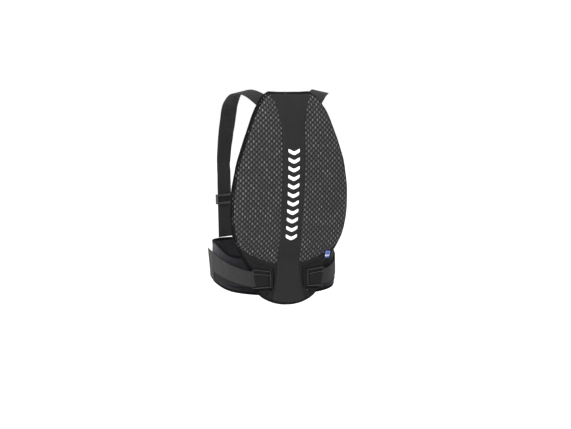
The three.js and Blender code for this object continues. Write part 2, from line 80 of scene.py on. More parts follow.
PANEL_LOW, PANEL_HIGH = (-156, -76), (156, 444)  # corners of a box round the flat panel
LUMBAR_TOP = 110  # above the lumbar cloth
TUNNEL = {"inner": 39, "outer": 85, "far": 6.4, "skin": 1.3}
LABEL = {"x": 97, "z": 50, "wide": 12, "tall": 16}

SIDES = (-1, "left"), (1, "right")
ROOT_2 = 1.414
FAR = 1e9  # further than anything here


def smooth_through(pairs):
    """A smooth curve through (at, value) pairs, without overshoot."""
    xs, ys = np.array(pairs, float).T
    rise = np.diff(ys) / np.diff(xs)
    slope = np.concatenate([rise[:1], np.zeros(len(xs) - 2), rise[-1:]])
    before, after = rise[:-1], rise[1:]
    same = before * after > 0
    slope[1:-1] = np.where(same, 2 * before * after / np.where(same, before + after, 1), 0)

    def curve(at):
        x = np.clip(np.asarray(at, float), xs[0], xs[-1])
        i = np.clip(np.searchsorted(xs, x) - 1, 0, len(xs) - 2)
        span = xs[i + 1] - xs[i]
        t = (x - xs[i]) / span
        a, b = (1 + 2 * t) * (1 - t) ** 2, t * (1 - t) ** 2
        c, d = t * t * (3 - 2 * t), t * t * (t - 1)
        return a * ys[i] + b * span * slope[i] + c * ys[i + 1] + d * span * slope[i + 1]

    return curve


def catmull(points, count):
    """Points along a uniform Catmull-Rom curve."""
    p = np.asarray(points, float)
    p = np.vstack([p[:1], p, p[-1:]])
    t = np.linspace(0, len(points) - 1, count)
    i = np.minimum(t.astype(int), len(points) - 2)
    w = (t - i)[:, None]
    p0, p1, p2, p3 = p[i], p[i + 1], p[i + 2], p[i + 3]
    v0, v1 = (p2 - p0) / 2, (p3 - p1) / 2
    return (2 * p1 - 2 * p2 + v0 + v1) * w**3 + (-3 * p1 + 3 * p2 - 2 * v0 - v1) * w**2 + v0 * w + p1


def bezier(points, count=200):
    t = np.linspace(0, 1, count)[:, None]
    p = [np.asarray(q, float) for q in points]
    if len(p) == 3:
        return (1 - t) ** 2 * p[0] + 2 * t * (1 - t) * p[1] + t * t * p[2]
    return (1 - t) ** 3 * p[0] + 3 * t * (1 - t) ** 2 * p[1] + 3 * t * t * (1 - t) * p[2] + t**3 * p[3]


def unit(v):
    v = np.asarray(v, float)
    return v / np.maximum(np.linalg.norm(v, axis=-1, keepdims=True), 1e-12)


def distances(points):
    """How far along a line each of its points lies."""
    return np.concatenate([[0], np.cumsum(np.linalg.norm(np.diff(points, axis=0), axis=1))])


def read_along(values, at, s):
    """Rows of values that are known at distances at, read at distances s."""
    return np.stack([np.interp(s, at, column) for column in np.transpose(values)], -1)


def line_distance(x, z, line):
    """Distance to the nearest place on a line."""
    nearest = np.full(np.shape(x), FAR)
    for a, b in zip(line[:-1], line[1:]):
        e = b - a
        t = np.clip(((x - a[0]) * e[0] + (z - a[1]) * e[1]) / (e @ e), 0, 1)
        nearest = np.minimum(nearest, (x - a[0] - t * e[0]) ** 2 + (z - a[1] - t * e[1]) ** 2)
    return np.sqrt(nearest)


def centred(t):
    """The part of t past the nearest whole number, from -0.5 to 0.5."""
    return (t + 0.5) % 1 - 0.5


def lens(t):
    """A quarter round: 0 at 0, level at 1."""
    t = np.clip(t, 0, 1)
    return np.sqrt(1 - (1 - t) ** 2)


def bump(distance, width):
    return np.exp(-((distance / width) ** 2))


class Waves:
    """Gentle unevenness: a sum of sine waves in random directions, about -1 to 1."""

    def __init__(self, wavelength, count=9):
        angle = random.uniform(0, 2 * math.pi, count)
        length = wavelength * random.uniform(0.6, 1.7, count)
        self.k = 2 * math.pi / length[:, None] * np.stack([np.cos(angle), np.sin(angle)], 1)
        self.phase = random.uniform(0, 2 * math.pi, count)

    def __call__(self, x, z):
        total = sum(np.sin(k[0] * x + k[1] * z + p) for k, p in zip(self.k, self.phase))
        return total / math.sqrt(len(self.phase) / 2) / 2


# ---------- the back panel's surface

spine_line = smooth_through([
    (-64, -4), (-30, 0), (32, 0), (100, -19), (200, -38), (290, -46), (370, -41), (434, -22),
])
full_depth = smooth_through([(-64, EDGE_DEPTH), (36, EDGE_DEPTH), (85, FULL_DEPTH), (434, FULL_DEPTH)])
RIM_RIGHT = [
    (26, -59.5), (50, -50.5), (68, -37.5), (80, -19), (84, 2), (88, 20), (101, 40), (118, 68), (131, 100),
    (137.5, 135), (138.5, 170), (137, 206), (131.5, 243), (123.5, 279), (107, 327), (86.5, 380),
    (67, 411.5), (58, 420), (48, 426.5),
]
TOP_DIP = 1.5
SHOULDER = RIM_RIGHT[-1]


def side_curve(x):
    return np.maximum(0, np.abs(x) - SPINE_FLAT) ** 2 / (2 * SIDE_RADIUS)


def on_panel(x, z, depth):
    return np.stack([x, spine_line(z) + side_curve(x) - depth, z], -1)


def edge_profile(inside, full):
    edge = EDGE_START + (EDGE_DEPTH - EDGE_START) * lens(inside / EDGE_ROUND)
    return edge + (full - EDGE_DEPTH) * lens(inside / DOME_WIDTH)


left_side = [(-x, z) for x, z in RIM_RIGHT][::-1]
neckline = bezier([SHOULDER, (0, SHOULDER[1] - 2 * TOP_DIP), (-SHOULDER[0], SHOULDER[1])], 30)
rim_loop = np.vstack([catmull([*left_side, (0, -PANEL_DROP), *RIM_RIGHT], 300), neckline[1:-1]])


class Field:
    """Values on a regular grid, read in between."""

    def __init__(self, low, steps, values):
        self.low, self.steps, self.values = low, steps, values

    def __call__(self, x, z):
        a = np.clip((x - self.low[0]) / self.steps[0], 0, self.values.shape[0] - 1.001)
        b = np.clip((z - self.low[1]) / self.steps[1], 0, self.values.shape[1] - 1.001)
        i, j = a.astype(int), b.astype(int)
        a, b, v = a - i, b - j, self.values
        low = v[i, j] * (1 - a) + v[i + 1, j] * a
        return low * (1 - b) + (v[i, j + 1] * (1 - a) + v[i + 1, j + 1] * a) * b


def signed_distance(loop, x, z):
    """Distance to a closed line, above 0 inside it."""
    inside = np.zeros(x.shape, bool)
    closed = np.vstack([loop, loop[:1]])
    for a, b in zip(closed[:-1], closed[1:]):
        if a[1] != b[1]:
            inside ^= ((a[1] > z) != (b[1] > z)) & (x < (b[0] - a[0]) * (z - a[1]) / (b[1] - a[1]) + a[0])
    return np.where(inside, 1, -1) * line_distance(x, z, closed)


SDF_STEP = 1.5
sdf_x, sdf_z = np.arange(-162, 162, SDF_STEP), np.arange(-84, 452, SDF_STEP)
sdf_values = signed_distance(rim_loop, *np.meshgrid(sdf_x, sdf_z, indexing="ij"))
sdf_slopes = np.gradient(sdf_values, SDF_STEP)
from_rim = Field((sdf_x[0], sdf_z[0]), (SDF_STEP, SDF_STEP), sdf_values)
inward_x, inward_z = (Field(from_rim.low, from_rim.steps, g) for g in sdf_slopes)

# The cover is cut flat and pulled round the panel's rounded edge. unwrapped gives the real distance from the
# rim of a place in the flat cloth.
walk = np.linspace(0, DOME_WIDTH + 4, 721)
FLAT_LOW, FLAT_STEP = -9, 0.1
flat_samples = np.arange(FLAT_LOW, DOME_WIDTH + 4, FLAT_STEP)
depth_samples = np.linspace(EDGE_DEPTH, FULL_DEPTH, 14)
wrap_rows, wrap_extra = [], []
for full in depth_samples:
    arc = np.concatenate([[0], np.cumsum(np.hypot(np.diff(walk), np.diff(edge_profile(walk, full))))])
    extra = arc[-1] - walk[-1]
    wrap_extra.append(extra)
    wrap_rows.append(np.interp(flat_samples, arc - extra, walk))
depth_step = depth_samples[1] - depth_samples[0]
unwrapped = Field((FLAT_LOW, EDGE_DEPTH), (FLAT_STEP, depth_step), np.array(wrap_rows).T)


def wrap_width(z):
    return np.interp(full_depth(z), depth_samples, wrap_extra)


def cover(x, z):
    """Points of the cover's outside, from where they lie in the flat cloth."""
    flat = from_rim(x, z)
    real = np.where(flat < DOME_WIDTH, unwrapped(flat, full_depth(z)), flat)
    nx, nz = inward_x(x, z), inward_z(x, z)
    scale = (real - flat) / np.maximum(np.hypot(nx, nz), 0.2)
    px, pz = x + nx * scale, z + nz * scale
    return on_panel(px, pz, edge_profile(np.maximum(real, 0), full_depth(pz)))


def cover_normal(x, z, reach=0.5):
    across = cover(x + reach, z) - cover(x - reach, z)
    up = cover(x, z + reach) - cover(x, z - reach)
    return unit(np.cross(across, up))


def on_cover(x, z, lift):
    return cover(x, z) + cover_normal(x, z) * np.asarray(lift)[..., None]


def to_rim(x, z):
    return from_rim(x, z) + wrap_width(z)


STRIP_HALF = [
    (-66, 50), (-56, 43), (-42, 37), (-12, 30.5), (11, 28), (57, 25.3), (114, 24), (190, 25.9),
    (274, 26.6), (335, 27.6), (366, 30.5), (400, 38), (416, 44), (429, 51), (440, 57),
]
strip_curve = catmull(STRIP_HALF, 400)
HEM = [(0, 31), (28, 33), (55, 39), (80, 49), (105, 62), (125, 75), (160, 96)]
hem_curve = catmull([*[(-x, z) for x, z in HEM[:0:-1]], *HEM], 300)


def in_strip(x, z):
    """Distance inside the smooth strip down the spine."""
    half = np.interp(z, strip_curve[:, 0], strip_curve[:, 1])
    slope = np.interp(z, strip_curve[:, 0], np.gradient(strip_curve[:, 1], strip_curve[:, 0]))
    return (half - np.abs(x)) / np.sqrt(1 + slope**2)


def above_hem(x, z):
    """Distance above the line where the lattice ends and the lumbar cloth begins."""
    height = np.interp(x, hem_curve[:, 0], hem_curve[:, 1])
    slope = np.interp(x, hem_curve[:, 0], np.gradient(hem_curve[:, 1], hem_curve[:, 0]))
    return (z - height) / np.sqrt(1 + slope**2)


# ---------- making meshes


def make_mesh(name, points, faces, uv, look, turned=False):
    """A mesh object from points in millimetres. Unless it is turned, its faces are turned to point out."""
    p = np.asarray(points, float)
    if not turned:
        fans = np.array([(f[0], f[k], f[k + 1]) for f in faces for k in range(1, len(f) - 1)])
        a, b, c = (p[fans[:, k]] - p.mean(0) for k in range(3))
        if np.einsum("ij,ij->i", a, np.cross(b, c)).sum() < 0:
            faces = [f[::-1] for f in faces]
    mesh = bpy.data.meshes.new(name)
    mesh.from_pydata((p * MM).tolist(), [], faces)
    mesh.validate()
    mesh.shade_smooth()
    layer = mesh.uv_layers.new(name="cloth")
    layer.data.foreach_set("uv", np.asarray(uv, np.float32)[loop_corners(mesh)].ravel())
    mesh.update()
    obj = bpy.data.objects.new(name, mesh)
    bpy.context.scene.collection.objects.link(obj)
    mesh.materials.append(materials[look])
    return obj


def loop_corners(mesh):
    corners = np.zeros(len(mesh.loops), int)
    mesh.loops.foreach_get("vertex_index", corners)
    return corners


def settle(obj, body, *nodes):
    """Rides a piece on a body, in place of the CAD nodes it stands for."""
    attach(obj, body)
    if nodes:
        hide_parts(*nodes)


def paint_fold_shade(obj, depth):
    """Stores how deep in a fold each point lies, 0 to 1, for the painted shade that darkens the cloth there.
    depth gives it from the point's UV."""
    mesh = obj.data
    flat = np.zeros(2 * len(mesh.loops), np.float32)
    mesh.uv_layers["cloth"].data.foreach_get("uv", flat)
    uv = np.zeros((len(mesh.vertices), 2))
    uv[loop_corners(mesh)] = flat.reshape(-1, 2)
    folds = np.clip(depth(*uv.T), 0, 1).astype(np.float32)
    mesh.attributes.new("fold", "FLOAT", "POINT").data.foreach_set("value", folds)


def grid_faces(rows, columns, start=0, flip=False):
    i, j = np.meshgrid(np.arange(rows - 1), np.arange(columns - 1), indexing="ij")
    a = (start + i * columns + j).ravel()
    quads = np.stack([a, a + columns, a + columns + 1, a + 1], 1)
    return (quads[:, ::-1] if flip else quads).tolist()


def stations(length, step, edge):
    """Places along a length, closer together near its two ends, where the edge is rounded."""
    edge = min(edge, length / 3)
    near = edge * np.array([0, 0.1, 0.35, 0.7])
    middle = np.linspace(edge, length - edge, max(2, round((length - 2 * edge) / step) + 1))
    return np.concatenate([near, middle, (length - near)[::-1]])


def two_sided(name, sheets, look):
    """A mesh of closed bodies, each from a front and a back sheet on the same grid, joined at their edges."""
    points, faces, uvs = [], [], []
    for front, back, uv in sheets:
        rows, columns = front.shape[:2]
        base, n = sum(map(len, points)), rows * columns
        loop = [*range(columns), *(i * columns + columns - 1 for i in range(1, rows))]
        loop += [n - 1 - k for k in range(1, columns)] + [i * columns for i in range(rows - 2, 0, -1)]
        faces += grid_faces(rows, columns, base, flip=True) + grid_faces(rows, columns, base + n)
        faces += [[base + b, base + a, base + a + n, base + b + n] for a, b in zip(loop, loop[1:] + loop[:1])]
        points += [front.reshape(-1, 3), back.reshape(-1, 3)]
        uvs += [uv.reshape(-1, 2)] * 2
    return make_mesh(name, np.concatenate(points), faces, np.concatenate(uvs), look)


def tube_faces(rings, around, start=0):
    """Faces of a tube of rings of points, with its two ends closed."""
    faces = []
    for a in range(start, start + (rings - 1) * around, around):
        b = a + around
        faces += [[a + m, b + m, b + (m + 1) % around, a + (m + 1) % around] for m in range(around)]
    last = start + (rings - 1) * around
    return faces + [[start + m for m in range(around)], [last + m for m in reversed(range(around))]]


EDGE_SHARE = 0.12  # of a piece's thickness that is left at its very edge


def slab(name, place, length, width, near, far, look, step, across, edge, start=0.0, cut=(), relief=None,
         back_relief=None):
    """A length of cloth, webbing or padding. place(s, w, offset) gives a point s along, w across (0 to 1) and
    offset through it. width(s) is its width. near and far are its faces' offsets. Its edges are rounded,
    except at the ends named in cut, where it goes on into another piece."""
    s_at = stations(length, step, edge) + start
    wide = float(np.max(width(s_at)))
    w_at = stations(wide, across, edge) / wide
    s, w = np.meshgrid(s_at, w_at, indexing="ij")
    from_start, from_end = s - start, start + length - s
    if "start" in cut:
        from_start = from_start + FAR
    if "end" in cut:
        from_end = from_end + FAR
    side = np.minimum(w, 1 - w) * width(s)
    round_off = lens(np.minimum(from_start, from_end) / edge) * lens(side / edge)
    near, far = (f(s, w) if callable(f) else f for f in (near, far))
    middle, half = (near + far) / 2, (far - near) / 2
    swell = EDGE_SHARE + (1 - EDGE_SHARE) * round_off
    out, back = middle + half * swell, middle - half * swell
    if relief is not None:
        out = out + relief(s, w) * round_off
    if back_relief is not None:
        back = back - back_relief(s, w) * round_off
    return two_sided(name, [(place(s, w, out), place(s, w, back), np.stack([w * wide, s], -1))], look)


SLIVER = 0.06  # nearest that a trimmed edge comes to a grid point, as a share of the grid's step


def trimmed(inside, step, low, high):
    """A flat grid trimmed to where inside(x, z) is above 0: points, faces and the edge's segments."""
    xs = np.arange(math.floor(low[0] / step), math.ceil(high[0] / step) + 1) * step
    zs = np.arange(math.floor(low[1] / step), math.ceil(high[1] / step) + 1) * step
    x, z = np.meshgrid(xs, zs, indexing="ij")
    g = inside(x, z)
    kept = g > 0
    number = np.full(g.shape, -1)
    number[kept] = np.arange(kept.sum())
    points = np.stack([x[kept], z[kept]], 1).tolist()
    corner_sets = np.stack([kept[:-1, :-1], kept[1:, :-1], kept[1:, 1:], kept[:-1, 1:]])
    total = corner_sets.sum(0)
    i, j = np.nonzero(total == 4)
    faces = np.stack([number[i, j], number[i + 1, j], number[i + 1, j + 1], number[i, j + 1]], 1).tolist()
    crossings, rim = {}, []

    def crossing(a, b):
        key = (min(a, b), max(a, b))
        if key not in crossings:
            p, q = key
            t = min(1 - SLIVER, max(SLIVER, g[p] / (g[p] - g[q])))
            crossings[key] = len(points)
            points.append([x[p] + t * (x[q] - x[p]), z[p] + t * (z[q] - z[p])])
        return crossings[key]

    for i, j in zip(*np.nonzero((total > 0) & (total < 4))):
        corners = [(i, j), (i + 1, j), (i + 1, j + 1), (i, j + 1)]
        ring, on_edge = [], []
        for a, b in zip(corners, corners[1:] + corners[:1]):
            if kept[a]:
                ring.append(int(number[a]))
                on_edge.append(False)
            if kept[a] != kept[b]:
                ring.append(crossing(a, b))
                on_edge.append(True)
        faces.append(ring)
        for k in range(len(ring)):
            n = (k + 1) % len(ring)
            if on_edge[k] and on_edge[n]:
                rim.append((ring[k], ring[n]))
    return np.array(points), faces, rim


def cloth_piece(name, inside, look, outer, inner, step=STEP, low=PANEL_LOW, high=PANEL_HIGH):
    """A closed piece of the panel: the flat grid trimmed to inside. outer and inner give its two faces."""
    flat, faces, rim = trimmed(inside, step, low, high)
    x, z = flat.T
    g = inside(x, z)
    n = len(flat)
    points = np.concatenate([outer(x, z, g), inner(x, z, g)])
    closed = faces + [[k + n for k in f[::-1]] for f in faces] + [[b, a, a + n, b + n] for a, b in rim]
    return make_mesh(name, points, closed, np.concatenate([flat, flat]), look, turned=True)


# ---------- materials

class Value:
    """A node's output that can be used in sums."""

    def __init__(self, graph, socket):
        self.graph, self.socket = graph, socket

    def __add__(self, other):
        return self.graph.math("ADD", self, other)

    def __sub__(self, other):
        return self.graph.math("SUBTRACT", self, other)

    def __rsub__(self, other):
        return self.graph.math("SUBTRACT", other, self)

    def __mul__(self, other):
        return self.graph.math("MULTIPLY", self, other)

    def __truediv__(self, other):
        return self.graph.math("DIVIDE", self, other)

    __radd__, __rmul__ = __add__, __mul__


class Graph:
    """A node material, with its cloth coordinates in millimetres: u across the cloth and v along it."""

    def __init__(self, name, roughness=0.85, specular=0.3, sheen=0.0, sheen_tint=(1, 1, 1)):
        self.material = bpy.data.materials.new(name)
        self.material.use_nodes = True
        self.tree = self.material.node_tree
        self.shader = self.tree.nodes["Principled BSDF"]
        for key, value in {
            "Roughness": roughness, "Specular IOR Level": specular, "Sheen Weight": sheen,
            "Sheen Roughness": 0.45, "Sheen Tint": (*sheen_tint, 1),
        }.items():
            self.shader.inputs[key].default_value = value
        place = self.node("ShaderNodeUVMap", uv_map="cloth").outputs[0]
        split = self.node("ShaderNodeSeparateXYZ", {0: place})
        self.u, self.v = (Value(self, split.outputs[k]) for k in range(2))

    def node(self, kind, inputs=None, **settings):
        made = self.tree.nodes.new(kind)
        for key, value in settings.items():
            setattr(made, key, value)
        for key, value in (inputs or {}).items():
            value = value.socket if isinstance(value, Value) else value
            if isinstance(value, bpy.types.NodeSocket):
                self.tree.links.new(value, made.inputs[key])
            else:
                made.inputs[key].default_value = value
        return made

    def math(self, operation, *values):
        made = self.node("ShaderNodeMath", dict(enumerate(values)), operation=operation)
        return Value(self, made.outputs[0])

    def vector(self, x, y, z=0.0):
        return self.node("ShaderNodeCombineXYZ", {0: x, 1: y, 2: z}).outputs[0]

    def noise(self, size_u, size_v=None, detail=2.0, seed=0.0):
        """Smooth noise from 0 to 1, with features of that size in millimetres."""
        where = self.vector(self.u / size_u, self.v / (size_v or size_u), seed)
        made = self.node("ShaderNodeTexNoise", {"Vector": where, "Scale": 1.0, "Detail": detail})
        return Value(self, made.outputs[0])

    def cells(self, size, seed=0.0):
        """Distance to the nearest of scattered points."""
        where = self.vector(self.u / size, self.v / size, seed)
        return Value(self, self.node("ShaderNodeTexVoronoi", {"Vector": where, "Scale": 1.0}).outputs[0])

    def wave(self, value, pitch):
        """From -1 to 1, once in every pitch."""
        return self.math("SINE", value * (2 * math.pi / pitch))

    def centred(self, value):
        """The part of value past the nearest whole number, from -0.5 to 0.5."""
        return self.math("FRACT", value + 0.5) - 0.5

    def fade(self, value, near, far):
        """1 up to near, 0 from far."""
        inputs = {0: value, 1: near, 2: far, 3: 1.0, 4: 0.0}
        made = self.node("ShaderNodeMapRange", inputs, interpolation_type="SMOOTHSTEP")
        return Value(self, made.outputs[0])

    def least(self, a, b):
        return self.math("MINIMUM", a, b)

    def most(self, a, b):
        return self.math("MAXIMUM", a, b)

    def size(self, value):
        return self.math("ABSOLUTE", value)

    def dots(self, pitch, near, far):
        """Round dots in staggered rows: 1 up to near from a dot's centre and 0 from far, both in pitches."""
        a, b = self.u / pitch, self.v / pitch
        da, db, ea, eb = (self.centred(t) for t in (a, b, a + 0.5, b + 0.5))
        return self.fade(self.math("SQRT", self.least(da * da + db * db, ea * ea + eb * eb)), near, far)

    def mix(self, share, first, second):
        made = self.node("ShaderNodeMix", {0: share, 6: first, 7: second}, data_type="RGBA")
        made.clamp_factor = False
        return made.outputs[2]

    def surface(self, tint, shade, roughness, height, depth_mm, strength):
        """The material, from a tint times a shade, its roughness, and bumps of a height times a depth."""
        bright = tuple(4 * c for c in tint)
        self.link(self.mix(shade, (0, 0, 0, 1), (*bright, 1)), "Base Color")
        return self.finish(roughness, height, depth_mm, strength)

    def finish(self, roughness, height, depth_mm, strength):
        if roughness is not None:
            self.link(roughness.socket, "Roughness")
        inputs = {"Height": height, "Strength": strength, "Distance": depth_mm * MM}
        self.link(self.node("ShaderNodeBump", inputs).outputs[0], "Normal")
        return self.material

    def link(self, socket, key):
        self.tree.links.new(socket, self.shader.inputs[key])


def unevenness(g, amount, size=26.0, seed=1.0):
    """Slow variation about 1, from wear and from how the cloth lies."""
    return (g.noise(size, detail=3.0, seed=seed) - 0.5) * (2 * amount) + 1.0


def softshell(name, tint, seed):
    """A smooth knitted face: fine staggered stitches, faintly mottled, with painted shade darkening it in its
    folds.
    """
    g = Graph(name, specular=0.10, sheen=0.05)
    stitch = g.wave(g.u, 0.9) * g.wave(g.v + g.wave(g.u, 1.8) * 0.2, 0.7)
    fuzz = g.noise(0.8, detail=3.0, seed=seed)
    mottle = unevenness(g, 0.12, 34.0, seed) * unevenness(g, 0.10, 5.0, seed + 3)
    # fold is how deep in a fold a point lies: the colour is darkened there by it, as painted shade
    fold = Value(g, g.node("ShaderNodeAttribute", attribute_name="fold").outputs["Fac"])
    shade = (stitch * 0.05 + fuzz * 0.10 + 0.20) * mottle * (1.0 - fold * 0.65)
    return g.surface(tint, shade, 0.95 - fuzz * 0.2, stitch * 0.5 + fuzz, 0.22, 0.6)


def lattice(name):
    """A net of faint diagonal yarns over a dark ground, with a pale loop and a hole at every crossing."""
    g = Graph(name, specular=0.13, sheen=0.05)
    a, b = g.u / PITCH, g.v / PITCH
    da, db, ea, eb = (g.centred(t) for t in (a, b, a + 0.5, b + 0.5))
    first = g.math("LESS_THAN", g.size(da) + g.size(db), 0.5)
    second = 1.0 - first
    du, dv = da * first + ea * second, db * first + eb * second
    cell = g.vector(a - du, b - dv, second)
    chance = Value(g, g.node("ShaderNodeTexWhiteNoise", {"Vector": cell}).outputs[0])

    def oval(aside, wide, tall):
        x, z = (du * PITCH + aside) / wide, dv * (PITCH / tall)
        return g.math("SQRT", x * x + z * z)

    knot = g.fade(oval(0.0, KNOT_WIDE, KNOT_TALL), 0.5, 1.15)
    hole = g.fade(oval(HOLE_ASIDE, HOLE_WIDE, HOLE_TALL), 0.3, 1.15)
    yarn = g.fade(g.least(g.size(g.centred(a + b)), g.size(g.centred(a - b))) * (PITCH / ROOT_2), 0.5, 1.8)
    twist = g.wave(g.u + g.v, 1.1) * g.wave(g.u - g.v, 1.1)
    patches = unevenness(g, 0.7, 46.0, 5.0) * unevenness(g, 0.5, 14.0, 6.0)
    bright = (chance * chance * 0.16 + 0.045) * patches
    shade = g.most(0.018 + yarn * 0.026 - hole * 0.016 + knot * bright + twist * 0.003, 0.005)
    shade = shade * unevenness(g, 0.12, 60.0, 9.0)
    height = yarn * 0.25 + knot * 0.6 - hole * 0.5 + twist * 0.08
    return g.surface((0.155, 0.155, 0.158), shade, 0.78 - knot * 0.34, height, 0.5, 0.8)


def webbing(name, tint, rib, weft, seed, streaks, sheen, specular):
    """Elastic or tape: ribs along its length, crossed by the weft, with faint streaks along it."""
    g = Graph(name, specular=specular, sheen=sheen)
    ribs = g.wave(g.u, rib)
    cross = g.wave(g.v + g.wave(g.u, rib * 2) * 0.15, weft)
    streak = (g.noise(3.2, 90.0, seed=seed) - 0.5) * (2 * streaks) + 1.0
    fuzz = g.noise(0.7, seed=seed + 1)
    shade = (ribs * 0.03 + cross * 0.03 + fuzz * 0.06 + 0.22) * streak * unevenness(g, 0.10, 30.0, seed + 2)
    return g.surface(tint, shade, 0.9 - ribs * 0.06, ribs * 0.6 + cross * 0.5 + fuzz * 0.4, 0.25, 0.8)


def plush(name):
    """Brushed loop pile: soft nap lying in patches."""
    g = Graph(name, roughness=0.95, specular=0.08, sheen=0.14, sheen_tint=(0.85, 0.88, 1.0))
    nap = g.noise(0.6, 1.3, detail=4.0, seed=4.0)
    patches = unevenness(g, 0.35, 9.0, 6.0) * unevenness(g, 0.2, 30.0, 7.0)
    shade = (nap * 0.22 + 0.14) * patches
    return g.surface((0.0105, 0.0103, 0.0125), shade, None, nap + g.noise(5.0, seed=8.0), 0.7, 0.9)


def foam(name):
    """Open-cell foam: pores of two sizes."""
    g = Graph(name, specular=0.15)
    pores = g.fade(g.cells(1.6), 0.1, 0.45)
    small = g.fade(g.cells(0.7, 3.0), 0.1, 0.4)
    shade = (0.27 - pores * 0.14 - small * 0.05) * unevenness(g, 0.08)
    return g.surface((0.075, 0.075, 0.078), shade, 0.98 - pores * 0.1, 1.0 - pores - small * 0.5, 0.5, 0.9)


def spacer_mesh(name):
    """Body-side air mesh: small staggered holes in a thick knit."""
    g = Graph(name, specular=0.2, sheen=0.12)
    hole = g.dots(3.4, 0.16, 0.30)
    knit = g.wave(g.u, 0.8) * g.wave(g.v, 0.8)
    shade = (0.27 - hole * 0.2 + knit * 0.03) * unevenness(g, 0.12, 40.0)
    return g.surface((0.034, 0.034, 0.036), shade, 0.9 - hole * 0.05, 1.0 - hole + knit * 0.2, 0.6, 0.9)


def hook_tape(name):
    """Rows of tiny hooks on a woven ground."""
    g = Graph(name, specular=0.4)
    hook = g.dots(1.5, 0.15, 0.32)
    shade = (hook * 0.16 + 0.16) * unevenness(g, 0.1)
    return g.surface((0.02, 0.02, 0.021), shade, 0.7 - hook * 0.2, hook, 0.8, 0.9)


def moulded(name):
    """Moulded nylon with a fine texture."""
    g = Graph(name, specular=0.45)
    grain = g.noise(0.5, detail=4.0)
    shade = (grain * 0.08 + 0.21) * unevenness(g, 0.06)
    return g.surface((0.015, 0.015, 0.016), shade, grain * 0.2 + 0.32, grain, 0.12, 0.5)


def transfer(name):
    """A pale heat-sealed film: slightly crazed over the weave below."""
    g = Graph(name, specular=0.4)
    weave = g.wave(g.u, 0.9) * g.wave(g.v, 0.7)
    crazing = g.fade(g.cells(2.2), 0.0, 0.7)
    shade = (0.245 + weave * 0.004 - crazing * 0.006) * unevenness(g, 0.03)
    return g.surface((0.86, 0.86, 0.85), shade, 0.5 + weave * 0.05, weave + crazing * 0.3, 0.12, 0.5)


def woven_label(name):
    """A blue satin-woven label with a pale border and one pale band."""
    g = Graph(name, specular=0.35, sheen=0.1)
    satin = g.wave(g.u + g.v * 0.5, 0.6) * g.wave(g.v, 0.5)
    edge = g.least(g.size(g.u - LABEL["wide"]), g.least(g.u, g.least(g.v, g.size(g.v - LABEL["tall"]))))
    border = g.fade(g.size(edge - 1.3), 0.2, 0.5)
    band = g.fade(g.size(g.v - 5.2), 0.9, 1.3)
    dyed = g.mix(g.most(border * 0.5, band), (0.035, 0.075, 0.33, 1), (0.62, 0.65, 0.72, 1))
    g.link(g.mix(satin * 0.12 + 0.12, dyed, (0.02, 0.03, 0.08, 1)), "Base Color")
    return g.finish(0.7 + satin * 0.08, satin, 0.15, 0.6)


def thread(name, tint):
    """Twisted sewing thread."""
    g = Graph(name, specular=0.35, sheen=0.1)
    twist = g.wave(g.u + g.v * 1.4, 0.5)
    shade = (twist * 0.05 + 0.22) * unevenness(g, 0.12, 8.0)
    return g.surface(tint, shade, 0.75 + twist * 0.08, twist, 0.08, 0.6)


materials = {name: look(name, *values) for name, look, *values in (
    ("softshell", softshell, (0.0128, 0.0128, 0.0130), 11.0),
    ("lattice", lattice),
    ("lumbar", softshell, (0.0078, 0.0078, 0.0080), 17.0),
    ("sleeve", softshell, (0.0062, 0.0062, 0.0064), 23.0),
    ("tape", webbing, (0.0022, 0.0022, 0.0024), 2.0, 1.0, 21.0, 0.08, 0.01, 0.06),
    ("foam", foam),
    ("liner", spacer_mesh),
    ("plush", plush),
    ("elastic", webbing, (0.0165, 0.0165, 0.017), 1.5, 0.9, 27.0, 0.12, 0.04, 0.18),
    # the same elastic as the one above, in a darker copy that is painted shade for the lower band
    ("elastic_below", webbing, (0.0062, 0.0062, 0.0065), 1.5, 0.9, 31.0, 0.12, 0.03, 0.12),
    ("strap", webbing, (0.017, 0.017, 0.0172), 1.5, 0.9, 37.0, 0.12, 0.03, 0.16),
    ("hook", hook_tape),
    ("plastic", moulded),
    ("print", transfer),
    ("label", woven_label),
    ("thread", thread, (0.012, 0.012, 0.0125)),
    ("pale_thread", thread, (0.065, 0.065, 0.065)),
)}


# ---------- the back panel

SEAM_DEPTH, SEAM_WIDTH = 1.0, 1.9
CLOTH = 1.3  # thickness of the cover cloth
swells = Waves(58)
ripples = Waves(15)


def seam_roll(distance):
    """How a cloth's edge rolls down into a seam."""
    return -SEAM_DEPTH * bump(distance, SEAM_WIDTH)


def panel_cloth(name, edges, seams, look, relief, node, **limits):
    def inside(x, z):
        return np.minimum(to_rim(x, z) - 0.4, np.minimum.reduce([e(x, z) for e in edges]))

    def lift(x, z):
        fades = lens((to_rim(x, z) - 2) / 14)
        seam = np.minimum.reduce([e(x, z) for e in seams])
        return seam_roll(seam) + fades * relief(x, z) + 0.35 * fades * swells(x, z)

    obj = cloth_piece(name, inside, look, lambda x, z, g: on_cover(x, z, lift(x, z)),
                      lambda x, z, g: on_cover(x, z, lift(x, z) - CLOTH), **limits)
    settle(obj, "back_panel", node)
    return obj


HALF_SEAM = 0.15
TOPSTITCH_IN = 4.2  # from the spine strip's edge


def strip_edge(x, z):
    return in_strip(x, z) - HALF_SEAM


def beside_strip(x, z):
    return -in_strip(x, z) - HALF_SEAM


def lattice_hem(x, z):
    return above_hem(x, z) - HALF_SEAM


def lumbar_hem(x, z):
    return -above_hem(x, z) - HALF_SEAM


def strip_relief(x, z):
    return -0.35 * bump(in_strip(x, z) - TOPSTITCH_IN, 0.9) + 0.12 * ripples(x, z)


panel_cloth("spine_strip", [strip_edge], [strip_edge], "softshell", strip_relief, "spine_cover")


